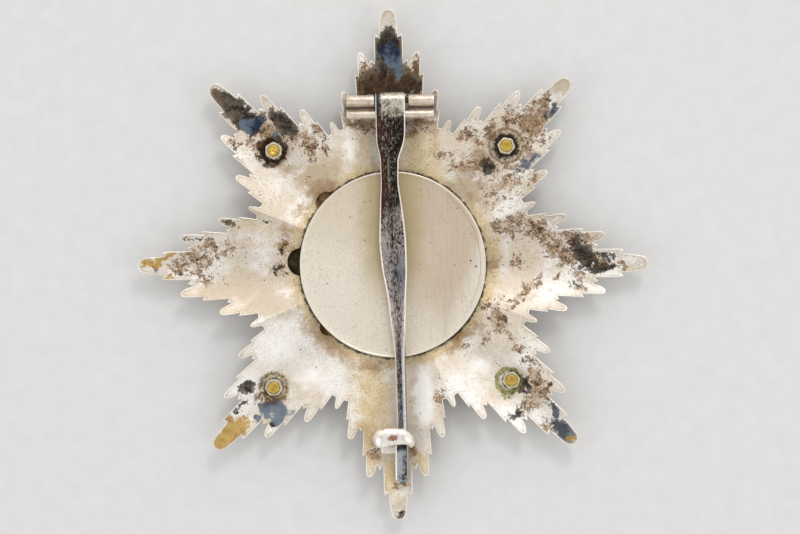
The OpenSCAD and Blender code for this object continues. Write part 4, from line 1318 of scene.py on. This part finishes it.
# The catch

catch = {
    "x": -0.2, "y": -29.9, "wide": 7.95, "long": 3.5, "thick": 0.65, "top": 7.96887, "foot": 4.09172,
    "beakRadius": 2.772, "beakTurn": 62.0, "crown": 0.35,
    # the hook seen from above, as shares of its width and length: x, its lower edge, its upper edge
    "plan": [[-0.5, -0.20, 0.2], [-0.46, -0.36, 0.34], [-0.40, -0.46, 0.43], [-0.3, -0.48, 0.5],
             [-0.16, -0.4, 0.54], [0.04, -0.32, 0.53], [0.2, -0.3, 0.48], [0.32, -0.34, 0.34],
             [0.42, -0.48, 0.16], [0.49, -0.46, 0.0]],
    "steps": [26, 16, 44],  # stations round the beak, over the top and round the bend
    "sides": 32, "sharpAngle": 50,
    "sectionPower": 1.9,  # roundness of the band's section: an oval at 2
    "tip": 0.06, "tipWide": 0.35, "tipThick": 0.45,  # the beak's end, as shares of the band
    "endPlan": [-0.45, 0.3],  # the lower and upper edge where the band ends under the hook
    "footWide": 0.36, "footLong": 1.1, "footOut": 0.78,  # shares of the hook's width and length
    "footSteps": 24, "footPower": 5, "footEnd": 0.12, "footNarrow": 0.25,
    "light": tint(255, 249, 239), "deep": tint(226, 212, 194), "tan": tint(190, 162, 130),
    "copper": tint(112, 64, 34), "copperPale": tint(168, 108, 70), "low": tint(138, 110, 74),
    "lip": tint(255, 252, 240), "lipLitDeep": tint(220, 202, 164),
    "copperSpot": [[-0.45, -29.75, 1.2, 0.65, 8, 1]],
}


def catchFinish():
    # bright silver, worn to a copper colour in one place, brown where it meets the plate, tan at its left
    # end and top edge as painted shade, and its foot's lip painted light
    f = Finish("catchSilver", catch, Metallic=0.7)
    x, y, z = (f.at(name) for name in "XYZ")
    mottle = f.swing(1.1, 6, 0.68, 0.7)
    grain = f.swing(0.25, 4, 0.7, 0.4, 3)
    f.color = f.blend(f.ramp(mottle, -0.3, 1.4), "light", "deep")
    # painted shade: tan at the left end and along the top edge, where the band turns away
    ends = f.ramp(x + 0.2 * mottle, -3.3, -4.2).high(f.ramp(y - 0.06 * x + 0.1 * mottle, -28.6, -28.0))
    f.cover(ends * 0.5, "tan")
    worn = f.ragged(f.nearness(catch["copperSpot"], f.flat), 0.15 * mottle, 0.0, 0.65)
    copper = f.blend(f.ramp(grain, -0.4, 0.5), "copper", "copperPale")
    f.cover(worn * 0.85, copper)
    low = f.ramp(z + 0.1 * mottle, 5.4, 4.5)
    f.cover(low * 0.6, "low")
    # painted light on the foot's lip below the hook
    lip = f.blend(f.ramp(grain + mottle, 0.2, 1.6), "lip", "lipLitDeep")
    f.cover(f.ramp(y, -31.3, -31.6) * f.ramp(z, 5.6, 5.2), lip)
    roughness = 0.34 + 0.15 * worn + 0.15 * low + 0.02 * mottle
    return f.done(roughness, 0.2 * mottle + 0.1 * grain - 0.6 * worn, 0.25, 0.04)


def catchShells():
    # a band carried along the hook's line: beak, top, round bend and foot. At each station it
    # is as long as the plan allows, and its section is an oval that is fuller outwards.
    half = catch["wide"] / 2
    bend = (catch["top"] - catch["foot"]) / 2
    bendX = bend - half
    beakR = catch["beakRadius"]
    beakX = half - beakR
    thick = catch["thick"]
    steps = beakSteps, topSteps, bendSteps = catch["steps"]
    beak = np.radians(np.linspace(90 - catch["beakTurn"], 90, beakSteps))
    curl = np.radians(np.linspace(90, 270, bendSteps))
    top = np.linspace(1, 0, topSteps + 2)[1:-1]
    centreX = np.concatenate([np.full(beakSteps, beakX), bendX + (beakX - bendX) * top,
                              np.full(bendSteps, bendX)])
    centreZ = np.repeat([catch["top"] - beakR, catch["top"] - beakR, catch["foot"] + bend], steps)
    centre = np.stack([centreX, centreZ], 1)
    turn = np.concatenate([beak, np.full(topSteps, math.pi / 2), curl])
    radius = np.repeat([beakR, beakR, bend], steps)
    outer = centre + radius[:, None] * np.stack([np.cos(turn), np.sin(turn)], 1)
    planAt = np.clip(outer[:, 0] / catch["wide"], -0.5, 0.49)
    low = catch["long"] * smoothTable(catch["plan"], 1, planAt)
    high = catch["long"] * smoothTable(catch["plan"], 2, planAt)
    span = np.arange(len(turn)) / (len(turn) - 1)
    under = np.clip((turn - math.pi) / (math.pi / 2), 0, 1)
    low = low * (1 - under) + under * catch["endPlan"][0] * catch["long"]
    high = high * (1 - under) + under * catch["endPlan"][1] * catch["long"]
    tip = np.clip(span / catch["tip"], 0, 1) ** 0.5
    wide, full = (share + (1 - share) * tip for share in (catch["tipWide"], catch["tipThick"]))
    middle, reach = (low + high) / 2, (high - low) / 2 * wide
    c, s = superellipse(catch["sides"], np.full(len(turn), catch["sectionPower"]))
    crown = catch["crown"] * np.sqrt(np.clip(1 - c ** 2, 0, 1)) * (s > 0)
    depth = thick / 2 * (1 - s * full[:, None]) - crown + catch["crown"]
    r = radius[:, None] - depth
    x = centre[:, :1] + r * np.cos(turn)[:, None]
    z = centre[:, 1:] + r * np.sin(turn)[:, None]
    y = middle[:, None] + reach[:, None] * c
    band = shell(capped(np.stack([catch["x"] + x, catch["y"] + y, z], -1)))
    footWide, footLong = catch["footWide"] * catch["wide"], catch["footLong"] * catch["long"]
    c, s = superellipse(catch["sides"], catch["footPower"])
    xs = np.linspace(0, 1, catch["footSteps"])
    end = 1 - catch["footNarrow"] * (1 - np.clip(np.minimum(xs, 1 - xs) / catch["footEnd"], 0, 1) ** 0.5)
    fy = catch["y"] - catch["footOut"] * catch["long"] + footLong / 2 + footLong / 2 * c[None] * end[:, None]
    fz = catch["foot"] + thick / 2 + thick / 2 * s[None] * end[:, None]
    fx = catch["x"] + bendX - thick / 2 + (footWide + thick / 2) * xs
    foot = shell(capped(np.stack([np.repeat(fx[:, None], len(c), 1), fy, fz], -1)))
    return [band, foot]


addPiece("catchHook", catchShells(), ["catch_hook"], "star", catchFinish(),
         catch["sharpAngle"])
print("catch made")


# Floor and light

light = {
    "floor": tint(222, 221, 218), "floorDeep": tint(218, 217, 214), "floorReach": 2500,
    "sky": tint(252, 252, 255),
    "zenith": 0.52,  # brightness straight above, mirrored by the flat faces
    "ring": 0.98,  # and 30 to 60 degrees up, mirrored by the flanks
    "horizon": 0.55,
    "northShare": 0.22,
    # name: direction it comes from in degrees, its elevation, distance, size, power in watts
    "boxes": {"key": [72, 50, 0.8, 0.2, 1.05], "west": [205, 38, 0.8, 0.5, 0.6],
              "east": [335, 40, 0.8, 0.45, 0.5]},
}


def addWorld():
    # a sky that is dark at the top, bright in a ring round it and a little brighter to the north
    world = bpy.data.worlds.new("studio")
    world.use_nodes = True
    n = Nodes(world.node_tree)
    toward = n.add("ShaderNodeTexCoord", {}, {}, "Generated")
    z = n.axis(toward, "Z")
    y = n.axis(toward, "Y")
    sky = n.ramp(z, 0.97, 0.80, light["zenith"], light["ring"])
    low = n.ramp(z, 0.45, 0.05, 0, light["ring"] - light["horizon"])
    strength = (sky - low) * (1 + light["northShare"] * y)
    background = world.node_tree.nodes["Background"]
    background.inputs["Color"].default_value = light["sky"]
    plug(world.node_tree, background.inputs["Strength"], strength)
    bpy.context.scene.world = world
    bpy.context.scene.view_settings.view_transform = "Standard"


def addLamps():
    # soft boxes in a ring: place = distance x (cos a cos e, sin a cos e, sin e), aimed at the star
    for name, (azimuth, elevation, distance, size, watts) in light["boxes"].items():
        a, e = math.radians(azimuth), math.radians(elevation)
        data = bpy.data.lights.new(name, "AREA")
        data.shape, data.size, data.energy = "DISK", size, watts
        lamp = addObject(name, data)
        lamp.location = (distance * math.cos(a) * math.cos(e), distance * math.sin(a) * math.cos(e),
                         distance * math.sin(e))
        lamp.rotation_euler = (math.pi / 2 - e, 0, a + math.pi / 2)


def addFloor():
    # a wide pale sheet of matt paper under the star
    f = Finish("paper", light)
    f.color = f.blend(f.ramp(f.noise(3, 4, 0.6), 0.3, 0.7), "floor", "floorDeep")
    reach = light["floorReach"]
    corners = [(-reach, -reach, 0), (reach, -reach, 0), (reach, reach, 0), (-reach, reach, 0)]
    mesh = newMesh("floor", corners, [(0, 1, 2, 3)])
    mesh.materials.append(f.done(0.8))
    addObject("floor", mesh)


addWorld()
addLamps()
addFloor()
print("floor and light set")
